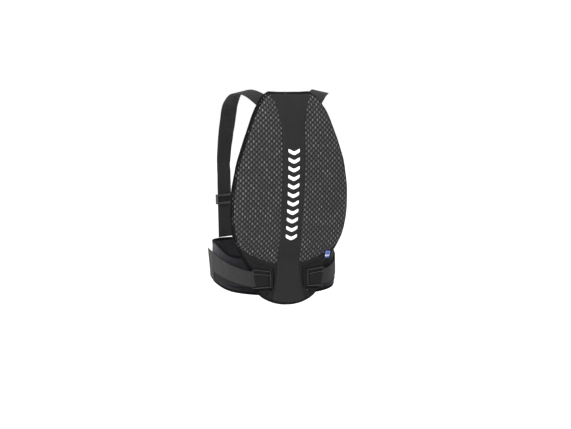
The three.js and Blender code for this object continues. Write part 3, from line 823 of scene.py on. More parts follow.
def net_relief(x, z):
    """The lattice's yarns and knots, raised over its ground."""
    a, b = x / PITCH, z / PITCH
    da, db, ea, eb = centred(a), centred(b), centred(a + 0.5), centred(b + 0.5)

    def ovals(aside, wide, tall):
        places = ((centred(u + aside / PITCH), v) for u, v in ((da, db), (ea, eb)))
        return np.maximum(*(np.exp(-((u * PITCH / wide) ** 2) - (v * PITCH / tall) ** 2) for u, v in places))

    yarn = bump(np.minimum(np.abs(centred(a + b)), np.abs(centred(a - b))) * PITCH / ROOT_2, YARN_WIDE)
    hole = ovals(HOLE_ASIDE, HOLE_WIDE, HOLE_TALL)
    return 0.16 * yarn + 0.5 * ovals(0, 1.3, KNOT_TALL) - 0.55 * hole - 0.25


# Folds in the lumbar cloth round each tunnel: a ditch down its inner side, two sweeps from its lower corner,
# and a riser along its upper edge.
DITCH = catmull([(36, 22), (35.5, 4), (36.5, -14), (41, -25), (49, -34), (55, -40)], 24)
SWEEP_1 = catmull([(43, -24.5), (56, -25.5), (70, -27), (82, -30)], 16)
SWEEP_2 = catmull([(46, -31), (56, -34), (66, -36), (74, -38)], 16)
RISER = catmull([(38, 24), (52, 27), (70, 33), (92, 44)], 16)


# How much painted shade darkens the lumbar cloth along its folds, 0 to 1.
def lumbar_fold_shade(x, z):
    s = np.abs(x)
    lines = ((DITCH, 2.2, 1), (SWEEP_1, 2.0, 0.8), (SWEEP_2, 1.8, 0.6), (RISER, 1.5, 0.4))
    return np.maximum.reduce([k * bump(line_distance(s, z, line), width) for line, width, k in lines])


def lumbar_relief(x, z):
    s = np.abs(x)
    ditch = -2.1 * bump(line_distance(s, z, DITCH), 1.7) + 0.5 * bump(line_distance(s, z, DITCH) - 3.4, 1.5)
    sweeps = -1.5 * bump(line_distance(s, z, SWEEP_1), 1.5) - 1.1 * bump(line_distance(s, z, SWEEP_2), 1.5)
    riser = -0.6 * bump(line_distance(s, z, RISER), 1.4)
    return ditch + sweeps + riser + 0.22 * ripples(x, z)


for side, name in SIDES:

    def on_side(x, z, side=side):
        return side * x

    reach = side * PANEL_HIGH[0]
    span = {"low": (min(0, reach), PANEL_LOW[1]), "high": (max(0, reach), PANEL_HIGH[1])}
    seams = [beside_strip, lattice_hem]
    panel_cloth(f"{name}_lattice", [*seams, on_side], seams, "lattice", net_relief,
                f"{name}_mesh_panel", **span)
    span["high"] = (span["high"][0], LUMBAR_TOP)
    seams = [beside_strip, lumbar_hem]
    lumbar = panel_cloth(f"{name}_lumbar", [*seams, on_side], seams, "lumbar", lumbar_relief,
                         f"{name}_lumbar_panel", **span)
    # painted shade darkens the lumbar cloth along its folds
    paint_fold_shade(lumbar, lumbar_fold_shade)


def foam_outline(x, z):
    return np.minimum(from_rim(x, z) - FOAM_INSET, FOAM_TOP - z)


def plate(name, near, far, look, node, step, relief=None, relief_on=0, inside=foam_outline, edge=5.0):
    """A closed pad inside the panel between two depths, rounded at its edges, with relief on one face."""
    def face(which):
        def points(x, z, g):
            n, f = near(x, z), far(x, z)
            middle, half = (n + f) / 2, (f - n) / 2 * (0.1 + 0.9 * lens(g / edge))
            extra = relief(x, z) * lens(g / edge) if which == relief_on else 0
            return on_panel(x, z, middle + which * half + extra)
        return points

    obj = cloth_piece(name, inside, look, face(1), face(-1), step=step)
    settle(obj, "back_panel", node)


def level(depth):
    return lambda x, z: depth + 0 * x


def core_far(x, z):
    return np.maximum(edge_profile(np.maximum(from_rim(x, z), 0), full_depth(z)) - 2.6, CORE_AT + 1.2)


CORE_AT = COMFORT_AT + COMFORT_THICK + 0.4
PAD_STEP, FINE_PAD_STEP = 4.0, 2.4
VENT, VENT_WIDE = 36.0, 3.2  # spacing and width of the diagonal vent channels in the impact foam


def vent_channels(x, z):
    lines = [np.abs(centred((x * c + z) / VENT)) * VENT / ROOT_2 for c in (-1, 1)]
    return -1.0 * bump(np.minimum(*lines), VENT_WIDE)


# Sewn channels in the liner: two that follow the rim, two beside the spine, and ribs between them.
CHANNEL_IN, SPINE_CHANNEL, RIB_PITCH = 34, 15, 58


def liner_relief(x, z):
    channels_inside = from_rim(x, z) > CHANNEL_IN
    around = bump(from_rim(x, z) - CHANNEL_IN, 2.6)
    spine = bump(np.abs(x) - SPINE_CHANNEL, 2.4) * channels_inside
    rib = ((z + 20) / RIB_PITCH + 0.5) % 1 * RIB_PITCH - RIB_PITCH / 2
    ribs = bump(rib, 2.4) * channels_inside * (np.abs(x) > SPINE_CHANNEL)
    return 1.5 * np.maximum(around, np.maximum(spine, ribs)) - 0.7


plate("impact_pad", level(CORE_AT), core_far, "foam", "impact_core", FINE_PAD_STEP, vent_channels, 1)
plate("comfort_pad", level(COMFORT_AT), level(COMFORT_AT + COMFORT_THICK), "foam", "comfort_foam",
      PAD_STEP)
plate("liner_pad", level(0), level(LINER_THICK), "liner", "body_liner", FINE_PAD_STEP, liner_relief, -1,
      inside=lambda x, z: from_rim(x, z) - 0.6, edge=2.5)


# ---------- binding round the rim

RIM_STEP = 2.6


def even_loop(points):
    """A closed line's evenly spaced points, their directions, and the distance along it."""
    p = np.vstack([points, points[:1]])
    at = distances(p)
    s = np.linspace(0, at[-1], int(at[-1] / RIM_STEP), endpoint=False)
    q = read_along(p, at, s)
    return q, unit(np.roll(q, -1, 0) - np.roll(q, 1, 0)), s


rim_line, rim_direction, rim_at = even_loop(rim_loop)
rim_normal = np.stack([rim_direction[:, 1], -rim_direction[:, 0]], 1)
if (rim_normal * (rim_line - rim_line.mean(0))).sum() < 0:
    rim_normal = -rim_normal
rim_tops = full_depth(rim_line[:, 1])


def binding():
    """A tape folded over the rim. Its profile is (outwards from the rim, depth) pairs, once round."""
    inner = [(-d, edge_profile(d, rim_tops) + 0.55) for d in (3.2, 2.1, 1.1, 0.3)]
    outer = [(0.9, 7.4), (2.0, 5.9), (2.5, 4.3), (2.5, 2.6), (1.8, 0.9), (0.5, -0.1), (-1.4, -0.45),
             (-2.9, -0.4)]
    under = [(-2.9, 0.5), (-0.9, 0.6), (0.3, 1.4), (1.0, 3.0), (0.8, 5.0), (-0.4, 6.6)]
    lip = [(-3.2, edge_profile(3.2, rim_tops) - 0.6)]
    wobble = 0.12 * np.sin(rim_at / 9.0) + 0.08 * np.sin(rim_at / 3.7)
    rings = []
    for o, d in [*inner, *outer, *under, *lip]:
        at = rim_line + rim_normal * (o + wobble * (o > 1))[:, None]
        rings.append(on_panel(at[:, 0], at[:, 1], d + 0 * rim_tops))
    rings = np.stack(rings, 1)
    rows, columns = rings.shape[:2]
    faces = []
    for a, b in zip(range(rows), [*range(1, rows), 0]):
        for j, k in zip(range(columns), [*range(1, columns), 0]):
            faces.append([a * columns + j, a * columns + k, b * columns + k, b * columns + j])
    uv = np.stack(np.broadcast_arrays(np.linspace(0, 34, columns), rim_at[:, None]), -1)
    obj = make_mesh("rim_binding", rings.reshape(-1, 3), faces, uv.reshape(-1, 2), "tape")
    settle(obj, "back_panel", "edge_binding")


binding()

# ---------- stitches

class Stitches:
    """Rows of sewn stitches, gathered into one mesh."""
    SIDES = 6
    LENGTH = np.array([0, 0.12, 0.5, 0.88, 1.0])  # places of a stitch's rings, as shares of its length
    ARCH = np.array([-1.2, 0.1, 0.55, 0.1, -1.2])  # their heights, in radii
    THICK = np.array([0.5, 0.95, 1.05, 0.95, 0.5])
    GIRTH = 1.8

    def __init__(self, name, look, body):
        self.name, self.look, self.body = name, look, body
        self.points, self.faces, self.uv = [], [], []

    def row(self, points, out, pitch=3.2, long=2.3, radius=0.28, sunk=0.1):
        """Stitches along a line that lies on a surface, with out pointing off it."""
        at = distances(points)
        arch, thick = radius * self.ARCH - sunk, radius * self.THICK
        for start in np.arange(pitch / 2, at[-1] - long, pitch):
            s = start + long * self.LENGTH
            centre, up = read_along(points, at, s), unit(read_along(out, at, s))
            sideways = unit(np.cross(up, unit(centre[-1] - centre[0])))
            self.faces += tube_faces(len(s), self.SIDES, len(self.points))
            for k, m in np.ndindex(len(s), self.SIDES):
                a = 2 * math.pi * m / self.SIDES
                aside, lift = thick[k] * math.cos(a), arch[k] + thick[k] * math.sin(a)
                self.points.append(centre[k] + up[k] * lift + sideways[k] * aside)
                self.uv.append((m / self.SIDES * self.GIRTH, s[k]))

    def sew(self):
        settle(make_mesh(self.name, self.points, self.faces, self.uv, self.look), self.body)


def cover_row(stitches, x, z, lift, **how):
    stitches.row(on_cover(x, z, lift), cover_normal(x, z), **how)


dark_stitches = Stitches("panel_stitches", "thread", "back_panel")
for side, _ in SIDES:
    z = np.arange(-50, 421, 2.0)
    x = side * (np.interp(z, strip_curve[:, 0], strip_curve[:, 1]) - TOPSTITCH_IN)
    cover_row(dark_stitches, x, z, np.full(x.shape, -0.25))
LIP_IN = 1.9  # of the stitches in the binding's inner edge
lip = rim_line - rim_normal * LIP_IN
lip_points = on_panel(lip[:, 0], lip[:, 1], edge_profile(LIP_IN, rim_tops) + 0.7)
lip_out = unit(np.stack([rim_normal[:, 0] * 0.7, -1 + 0 * rim_tops, rim_normal[:, 1] * 0.7], 1))
lip_points, lip_out = (np.vstack([v, v[:1]]) for v in (lip_points, lip_out))
dark_stitches.row(lip_points, lip_out, pitch=3.6, long=2.6)

# ---------- transfer and label on the cover

# A column of plain downward chevrons, where such a protector carries its reflective transfer.
CHEVRON = {"half": 13.4, "stroke": 8.0, "rise": 8.0, "pitch": 19.6, "first": 88.0, "count": 11}


def chevrons():
    half, stroke, rise = CHEVRON["half"], CHEVRON["stroke"], CHEVRON["rise"]
    ends = half - np.array([0, 0.25, 0.9])
    xs = np.concatenate([-ends, np.linspace(-half + 2, half - 2, 13), ends[::-1]])
    ts = np.array([0, 0.06, 0.2, 0.4, 0.6, 0.8, 0.94, 1.0])
    x, t = np.meshgrid(xs, ts, indexing="ij")
    tip = np.sqrt((x / 3) ** 2 + 1) * 3 - 3  # rounded point of the V
    end = np.maximum(0, np.abs(x) - half + 2) / 2
    squeeze = 1 - 0.35 * end**2
    round_off = lens(np.minimum(half - np.abs(x), 9) / 0.6) * lens(np.minimum(t, 1 - t) * stroke / 0.6)
    sheets = []
    for k in range(CHEVRON["count"]):
        z = CHEVRON["first"] + k * CHEVRON["pitch"] + rise * tip / half + stroke * (0.5 + (t - 0.5) * squeeze)
        back = on_cover(x, z, 0.25 - 0.25 * round_off)
        sheets.append((on_cover(x, z, 0.3 + 0.45 * round_off), back, np.stack([x, z], -1)))
    settle(two_sided("chevron_transfer", sheets, "print"), "back_panel", "reflective_transfer")


chevrons()


def label_place(s, w, offset):
    x = LABEL["x"] + (w - 0.5) * LABEL["wide"]
    z = LABEL["z"] - LABEL["tall"] / 2 + s
    return on_cover(x, z, offset + 0.25 * np.sin(w * 3.1))


def even_width(width):
    return lambda s: width + 0 * s


label = slab("woven_label", label_place, LABEL["tall"], even_width(LABEL["wide"]), 0.1, 1.0, "label",
             1.4, 1.2, 0.5)
settle(label, "back_panel", "side_label")

# ---------- belt tunnels

tunnel_top = smooth_through([(39, 19), (50, 24), (85, 33)])  # upper edge of the sewn-on patch
tunnel_box = smooth_through([(39, 15), (48, 16), (85, 21)])  # upper edge of the sleeve itself
TUNNEL_DOWN = -23.5
TUNNEL_TALL = float(tunnel_top(TUNNEL["outer"])) - TUNNEL_DOWN
UPRIGHT_FOLD = 48.4


def tunnel_height(s, z):
    """How far the sleeve stands off the cover: a flat box with sewn folds along its top and inner side."""
    far, top, box = TUNNEL["far"], tunnel_top(s), tunnel_box(s)
    shelf = np.clip((z - box) / np.maximum(top - box, 1), 0, 1)
    height = np.where(z < box, far, far - (far - 2.6) * shelf**0.8) * lens((top - z) / 2.2)
    height = height * lens((s - TUNNEL["inner"]) / 6) * lens((z - TUNNEL_DOWN) / 3.2)
    folds = 0.75 * bump(z - box + 0.4, 1.5) - 0.8 * bump(z - box - 3.6, 1.6) + 0.6 * bump(z - top + 2.2, 1.2)
    folds += 0.5 * bump(z - box + 9.5, 1.3) - 0.45 * bump(z - box + 6, 1.6) - 0.3 * bump(z - box + 12.5, 1.6)
    upright = 0.9 * (bump(s - 45, 1.4) - bump(s - UPRIGHT_FOLD, 1.6)) * (z < box + 1)
    foot = 0.5 * bump(z - TUNNEL_DOWN - 2.6, 1.1) - 0.4 * bump(z - TUNNEL_DOWN - 5.2, 1.3)
    mouth = 0.35 * bump(s - TUNNEL["outer"] + 2.4, 1.3)
    inner = lens((s - TUNNEL["inner"]) / 5)
    return height + (folds + upright + foot + mouth) * inner * lens((top - z) / 3)


# How much painted shade darkens the sleeve, 0 to 1: in two creases by the top of its box, beside its sewn
# upright fold, and along its inner and lower edges.
def tunnel_fold_shade(u, s):
    z = TUNNEL_DOWN + u / TUNNEL_TALL * (tunnel_top(s) - TUNNEL_DOWN)
    box = tunnel_box(s)
    creases = bump(z - box - 3.6, 1.8), 0.8 * bump(z - box + 5.6, 1.8)
    upright = bump(s - UPRIGHT_FOLD, 1.9) * (z < box)
    rims = 0.8 * bump(s - TUNNEL["inner"] - 1.5, 2), 0.8 * bump(z - TUNNEL_DOWN - 5.4, 1.6)
    return np.maximum.reduce([*creases, upright, *rims])


pale_stitches = Stitches("tunnel_stitches", "pale_thread", "back_panel")
box_stitch = {"pitch": 2.6, "long": 2.1, "radius": 0.36, "sunk": 0.0}
tunnel_step = 0.8
for side, name in SIDES:

    def tunnel_place(s, w, offset, side=side):
        z = TUNNEL_DOWN + w * (tunnel_top(s) - TUNNEL_DOWN)
        return on_cover(side * s, z, np.maximum(tunnel_height(s, z) + offset, 0.05 + 0.2 * (offset > -0.5)))

    obj = slab(f"{name}_tunnel", tunnel_place, TUNNEL["outer"] - TUNNEL["inner"],
               lambda s: tunnel_top(s) - TUNNEL_DOWN, -TUNNEL["skin"], 0, "sleeve", tunnel_step, tunnel_step,
               0.6, start=TUNNEL["inner"])
    settle(obj, "back_panel", f"{name}_belt_tunnel")
    # painted shade darkens the sleeve in its creases and along its edges
    paint_fold_shade(obj, tunnel_fold_shade)

    z_inner, z_outer = np.arange(TUNNEL_DOWN + 3, 15, 1.0), np.arange(TUNNEL_DOWN + 3, 20, 1.0)
    s = np.arange(45, 84, 1.0)
    for at, z in ((45.0 + 0 * z_inner, z_inner), (s, TUNNEL_DOWN + 2.6 + 0 * s), (s, tunnel_box(s) - 0.4),
                  (s, tunnel_box(s) - 9.5), (82.2 + 0 * z_outer, z_outer)):
        cover_row(pale_stitches, side * at, z, tunnel_height(at, z), **box_stitch)
pale_stitches.sew()
dark_stitches.sew()

# ---------- paths of the belt and its elastics


class Path:
    """A line in plan, read by the distance along it, with its direction."""

    def __init__(self, *parts):
        points = np.vstack([parts[0], *(p[1:] for p in parts[1:])])
        self.points = points
        self.at = distances(points)
        self.directions = unit(np.gradient(points, self.at, axis=0))
        self.length = self.at[-1]

    def place(self, s, z, offset, side=1):
        p, d = read_along(self.points, self.at, s), unit(read_along(self.directions, self.at, s))
        x, y = p[..., 0] + d[..., 1] * offset, p[..., 1] - d[..., 0] * offset
        return np.stack([side * x, y, z + 0 * x], -1)

    def fold(self, s, z, offset, side):
        """A point where a piece folds, and the direction along the path there."""
        at, on = self.place(s, z, offset, side), self.place(s + 4, z, offset, side)
        return at, unit(on - at)

    def where(self, x):
        return float(np.interp(x, self.points[:, 0], self.at))


FRONT_Y, SIDE, FRONT_BEND_X, CLOSURE_END_X = 200, (142, 100), 60, -70
back_half = (
    bezier([(52, 6.6), (68, 8), (88, 12.2), (104, 23)]),
    bezier([(104, 23), (127, 38.8), (SIDE[0], 66), SIDE]),
)
front_bend = bezier([SIDE, (SIDE[0], 157), (FRONT_BEND_X + 52, FRONT_Y), (FRONT_BEND_X, FRONT_Y)])
belt = Path(*back_half, front_bend, np.linspace((FRONT_BEND_X, FRONT_Y), (CLOSURE_END_X, FRONT_Y), 60))
to_side = Path(*back_half)
AT_SIDE = to_side.length
AT_FRONT = Path(*back_half, front_bend).length
AT_HINGE = to_side.where(WING_HINGE_X)
belt_top = smooth_through([(0, 42), (AT_HINGE, 50), (AT_SIDE, 78), (AT_FRONT, 77), (belt.length, 75)])
belt_bottom = smooth_through([(0, -40), (AT_HINGE, -32), (AT_SIDE, -16), (AT_FRONT, -4), (belt.length, -3)])


def at_front_x(x):
    return AT_FRONT + FRONT_BEND_X - x


LEFT_TIP, RIGHT_END = at_front_x(-20), at_front_x(10)
OVER_LEFT = 5.8  # how far the right side stands off to lie over the left
step_out_line = smooth_through([
    (0, 0), (AT_FRONT - 6, 0), (AT_FRONT + 34, OVER_LEFT + 0.8), (belt.length, OVER_LEFT + 0.8),
])


def step_out(s, z):
    return step_out_line(s)


def corner_round(s, s1, radius, s0=-FAR):
    """How far a strap's sides draw in at the rounded corners of its end s1, and of s0 if it is given."""
    from_end = np.minimum(s - s0, s1 - s)
    return radius - np.sqrt(np.maximum(radius**2 - np.maximum(radius - from_end, 0) ** 2, 0))


def belt_slab(name, side, s0, s1, low, high, near, far, look, lift=None, **how):
    """A length of belt between two distances along its path, two heights and two offsets."""
    def place(s, w, offset):
        z = low(s) + w * (high(s) - low(s))
        return belt.place(s, z, offset + (lift(s, z) if lift else 0), side)

    return slab(name, place, s1 - s0, lambda s: high(s) - low(s), near, far, look, start=s0, **how)


def belt_row(stitches, side, s, z, offset, **how):
    s, z = np.broadcast_arrays(np.asarray(s, float), z)
    points = belt.place(s, z, offset, side)
    stitches.row(points, unit(belt.place(s, z, offset + 1, side) - points), **how)


def raised(curve, by):
    return lambda s: curve(s) + by


fine = 1.0
pile = {"step": 3 * fine, "across": 4 * fine}
nap = Waves(24), Waves(9)


def nap_relief(s, w):
    return 0.28 * nap[0](s, w * 80) + 0.12 * nap[1](s, w * 80)


for side, name in SIDES:
    end = RIGHT_END if side > 0 else LEFT_TIP
    lift = step_out if side > 0 else None
    wing = f"{name}_wing"
    fold, along = belt.fold(AT_HINGE, 10, 2, side)
    hinge = {"start": (fold - 40 * along) * MM, "end": (fold - 1 * along) * MM}

    anchor = belt_slab(f"{name}_anchor_pad", side, 0, AT_HINGE, belt_bottom, belt_top, 0, WING_THICK - 0.3,
                       "plush", edge=2.4, cut=("end",), relief=nap_relief, **pile)
    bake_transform(anchor)
    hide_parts(f"{name}_wing_anchor")
    pad = belt_slab(f"{name}_wing_pad", side, AT_HINGE, end, belt_bottom, belt_top, 0, WING_THICK - 0.3,
                    "plush", lift, edge=2.4, cut=("start",), relief=nap_relief, back_relief=nap_relief,
                    **pile)
    settle(pad, wing, f"{name}_belt_wing")
    for edge, low, high in (
        ("top", raised(belt_top, -4.5), raised(belt_top, 0.4 + TAPE_TALL)),
        ("bottom", raised(belt_bottom, -0.4 - TAPE_TALL), raised(belt_bottom, 4.5)),
    ):
        faces = -0.45, WING_THICK + 0.1
        folded = {"step": 3 * fine, "across": 1.2, "edge": 1.9}
        tape = belt_slab(f"{wing}_{edge}_binding", side, AT_HINGE, end + 0.6, low, high, *faces, "tape", lift,
                         cut=("start",), **folded)
        settle(tape, wing, f"{wing}_{edge}_tape")
        tape = belt_slab(f"{name}_anchor_{edge}_binding", side, 4, AT_HINGE, low, high, *faces, "tape",
                         cut=("end",), **folded)
        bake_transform(tape)

# Front closure
TAB_START = RIGHT_END + 0.4
TAB_NEAR, TAB_THICK = OVER_LEFT + 1.4, 2.6
TAB_CORNER = 14


def tab_low(s):
    return belt_bottom(s) + 3 + corner_round(s, belt.length, TAB_CORNER)


def tab_high(s):
    return belt_top(s) - 3 - corner_round(s, belt.length, TAB_CORNER)


peel_start, peel_end = (belt.place(TAB_START + d, 30, TAB_NEAR) * MM for d in (-14, 10))
tab = belt_slab("closure_tab_pad", 1, TAB_START - 12, belt.length, tab_low, tab_high, TAB_NEAR,
                TAB_NEAR + TAB_THICK, "plush", step=2.5 * fine, across=3 * fine, edge=1.4,
                relief=lambda s, w: 0.4 * nap_relief(s, w))
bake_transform(tab)
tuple(peel_start)
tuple(peel_end)
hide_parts("closure_tab")
hooks = belt_slab("closure_hooks", 1, TAB_START + 12, belt.length - 4, raised(tab_low, 4),
                  raised(tab_high, -4), OVER_LEFT, OVER_LEFT + 1.3, "hook", edge=0.6, **pile)
settle(hooks, "closure", "closure_hook_tape")
loops = belt_slab("closure_loops", -1, at_front_x(64), LEFT_TIP - 8, raised(belt_bottom, 6),
                  raised(belt_top, -6), WING_THICK - 0.1, WING_THICK + 1.4, "plush", edge=0.8, **pile)
settle(loops, "left_wing", "closure_loop_tape")

# ---------- elastic tensioners


def in_tunnel(x):
    return float(side_curve(x)) - EDGE_DEPTH - 2.0


side_x = SIDE[0] + ON_WING + 0.4
elastic = Path(
    bezier([(50, in_tunnel(50)), (68, in_tunnel(68) - 0.5), (86, in_tunnel(86))]),
    bezier([(86, in_tunnel(86)), (112, in_tunnel(86) + 4.5), (side_x, 58), (side_x, SIDE[1])]),
)
ELASTIC_FOLD = elastic.where(WING_HINGE_X)
ELASTICS = [
    # name, layer, look, heights of its middle along the path, width at its end
    # the lower elastic takes the darker copy of the elastic, which is painted shade
    ("lower", 0, "elastic_below", [(0, -1.5), (36, -1.5), (60, -1), (elastic.length, 6)], 38),
    ("upper", 1, "elastic", [(0, -0.5), (36, -0.5), (60, 3.5), (elastic.length, 32)], 44),
]
slack = Waves(34)


def elastics(name, side):
    """A pair of elastics, each of a root on the panel's side of the fold and a band on the wing's."""
    fold, along = elastic.fold(ELASTIC_FOLD, 10, 0, side)
    wing = f"{name}_wing"
    parts = (
        ("root", "_root", 0, ELASTIC_FOLD, "end", ("back_panel", wing), (-14, -1)),
        ("band", "", ELASTIC_FOLD, elastic.length, "start", (wing, f"{name}_tensioner"), (1, 14)),
    )
    for kind, layer, look, heights, end_width in ELASTICS:
        near = layer * (ELASTIC_THICK + 0.3)
        middle = smooth_through(heights)
        wide = smooth_through([(0, 35), (40, 35), (elastic.length, end_width)])

        def place(s, w, offset, layer=layer, middle=middle, wide=wide):
            z = middle(s) + (w - 0.5) * wide(s)
            fades = lens((s - 40) / 40) * lens((elastic.length - s) / 20)
            ease = 0.35 * slack(s + 50 * layer, w * 20) * fades
            return elastic.place(s, z, offset + ease * (layer + 0.2), side)

        for part, node_end, s0, s1, cut, bodies, (first, last) in parts:
            obj = slab(f"{name}_{kind}_elastic_{part}", place, s1 - s0, wide, near, near + ELASTIC_THICK,
                       look, 2 * fine, 2.5 * fine, 0.6, start=s0, cut=(cut,))
            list(bodies)
            (fold + first * along) * MM
            (fold + last * along) * MM
            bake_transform(obj)
            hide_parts(f"{name}_{kind}_elastic{node_end}")


for side, name in SIDES:
    elastics(name, side)

TENSION_START, TENSION_END = AT_SIDE - 5, AT_SIDE + 62
TENSION_NEAR, TENSION_FAR = ON_WING + 1.5, ON_WING + 3.7
curl = smooth_through([(AT_SIDE, 0), (AT_SIDE + 22, 0.6), (TENSION_END, 10)])
tension_low_line = smooth_through([(AT_SIDE, -12), (TENSION_END, -4)])
tension_high_line = smooth_through([(AT_SIDE, 54), (TENSION_END, 60)])


def stand_off(s, z):
    """How far an end tab stands off the belt, most of all at its free upper corner."""
    return curl(s) * (0.3 + 0.7 * (z + 12) / 72)


def tension_low(s):
    return tension_low_line(s) + corner_round(s, TENSION_END, 7)


def tension_high(s):
    return tension_high_line(s) - corner_round(s, TENSION_END, 5)


for side, name in SIDES:
    tensioner = f"{name}_tensioner"
    tab = belt_slab(f"{name}_tension_pad", side, TENSION_START, TENSION_END, tension_low, tension_high,
                    TENSION_NEAR, TENSION_FAR, "elastic", stand_off, step=2 * fine, across=2.5 * fine,
                    edge=1.0)
    settle(tab, tensioner, f"{name}_tension_tab")
    hooks = belt_slab(f"{name}_tension_hooks", side, AT_SIDE + 10, TENSION_END - 3, raised(tension_low, 4),
                      raised(tension_high, -4), ON_WING, ON_WING + 1.5, "hook", stand_off, step=3 * fine,
                      across=3 * fine, edge=0.6)
    settle(hooks, tensioner, f"{name}_tension_hook_tape")

    seams = Stitches(f"{name}_tension_stitches", "thread", tensioner)
    rows = [(s, np.arange(float(tension_low(s)) + 3, float(tension_high(s)) - 3, 1.5))
            for s in (TENSION_START + 3, TENSION_START + 10, TENSION_END - 4.5)]
    s = np.arange(TENSION_START + 3, TENSION_END - 4.5, 2.0)
    for s, z in [*rows, (s, tension_low_line(s) + 3), (s, tension_high_line(s) - 3)]:
        belt_row(seams, side, s, z, TENSION_FAR + stand_off(s, z), pitch=3.0, long=2.2, radius=0.3)
    seams.sew()

# ---------- shoulder straps

AT_STRAP = AT_FRONT - 30
strap_foot = belt.place(AT_STRAP, float(belt_top(AT_STRAP)) + 4, ON_WING)
foot_width = unit(belt.place(AT_STRAP - 5, 0, 0) - belt.place(AT_STRAP + 5, 0, 0))
run_top = strap_foot + (4, -9, 160)  # where its straight run to the belt begins
KEYS = [
    # a point of the strap's middle line, and the direction of its width there
    ((42, -24, 392), (0.6, -0.2, -0.8)), ((65, -14, 411), (0.68, -0.46, -0.57)),
    ((84, 2, 425), (0.76, -0.56, -0.33)), ((97, 28, 428), (0.84, -0.5, -0.2)),
    ((102, 62, 421), (0.93, -0.25, -0.2)), ((103, 98, 399), (0.98, 0, -0.2)),
    ((100, 132, 362), (0.98, 0, -0.18)), ((96, 170, 316), (0.97, -0.2, -0.1)),
]


def centripetal(points, t):
    """A centripetal Catmull-Rom curve, the kind that the CAD's straps follow."""
    p = np.asarray(points, float)
    p = np.vstack([2 * p[:1] - p[1:2], p, 2 * p[-1:] - p[-2:-1]])
    at = np.asarray(t) * (len(points) - 1)
    i = np.minimum(at.astype(int), len(points) - 2)
    w = (at - i)[:, None]
    x0, x1, x2, x3 = p[i], p[i + 1], p[i + 2], p[i + 3]
    d0, d1, d2 = (((b - a) ** 2).sum(1)[:, None] ** 0.25 for a, b in ((x0, x1), (x1, x2), (x2, x3)))
    d1 = np.where(d1 < 1e-4, 1, d1)
    d0, d2 = np.where(d0 < 1e-4, d1, d0), np.where(d2 < 1e-4, d1, d2)
    t1 = ((x1 - x0) / d0 - (x2 - x0) / (d0 + d1) + (x2 - x1) / d1) * d1
    t2 = ((x2 - x1) / d1 - (x3 - x1) / (d1 + d2) + (x3 - x2) / d2) * d1
    return x1 + t1 * w + (-3 * x1 + 3 * x2 - 2 * t1 - t2) * w**2 + (2 * x1 - 2 * x2 + t1 + t2) * w**3


chest = run_top + 0.15 * (run_top - strap_foot)
t = np.linspace(0, 1, 500)
shoulder_line = centripetal([k[0] for k in KEYS] + [chest, run_top], t)
shoulder_wide = centripetal([k[1] for k in KEYS] + [foot_width, foot_width], t)
run = np.linspace(0, 1, 80)[1:, None]
strap_line = np.vstack([shoulder_line, run_top + run * (strap_foot - run_top)])
strap_at = distances(strap_line)
strap_along = unit(np.gradient(strap_line, strap_at, axis=0))
strap_wide = np.vstack([shoulder_wide, np.broadcast_to(foot_width, (len(run), 3))])
strap_wide = unit(strap_wide - strap_along * (strap_wide * strap_along).sum(1, keepdims=True))
strap_out = unit(np.cross(strap_wide, strap_along))
FOLD_AT = float(np.interp(STRAP_FOLD, t, strap_at[: len(t)]))
PATCH_TO = float(np.interp(0.09, t, strap_at[: len(t)]))


def strap_read(values, s):
    return read_along(values, strap_at, s)


def strap_place(s, w, offset, side=1, width=STRAP_WIDE):
    offset = np.asarray(offset)[..., None] if np.ndim(offset) else offset
    across = (0.5 - w)[..., None] * width
    p, wide, out = (strap_read(v, s) for v in (strap_line, strap_wide, strap_out))
    return (p + unit(wide) * across + unit(out) * offset) * (side, 1, 1)


strap_ripple = Waves(40)
SLIDER = {"wide": 48, "tall": 24, "bar": 5, "thick": 2.6, "play": 0.9}
SLIDER_AT = strap_at[len(t) - 1] + 0.42 * (strap_at[-1] - strap_at[len(t) - 1])


def rounded_bar(centre, axes, size, radius=1.2, around=24):
    """A bar with rounded edges and ends: rings of a rounded rectangle along its first axis."""
    long, tall, deep = (v / 2 for v in size)
    angles = np.linspace(0, 2 * math.pi, around, endpoint=False) + math.pi / around
    ring = np.stack([np.cos(angles), np.sin(angles)], 1)
    ring = np.sign(ring) * np.abs(ring) ** 0.45
    end = ((1, 0.35), (0.985, 0.75), (0.95, 0.95), (0.9, 1))  # place along the bar, and how full it is there
    rings, uv = [], []
    for x, full in [*((-x, full) for x, full in end), *end[::-1]]:
        give = radius * (1 - full)
        a, b = (tall - give) * ring[:, 0], (deep - give) * ring[:, 1]
        rings.append(centre + axes[0] * x * long + axes[1] * a[:, None] + axes[2] * b[:, None])
        uv.append(np.stack([x * long + 0 * a, angles * 3], 1))
    return np.concatenate(rings), tube_faces(len(rings), around), np.concatenate(uv)


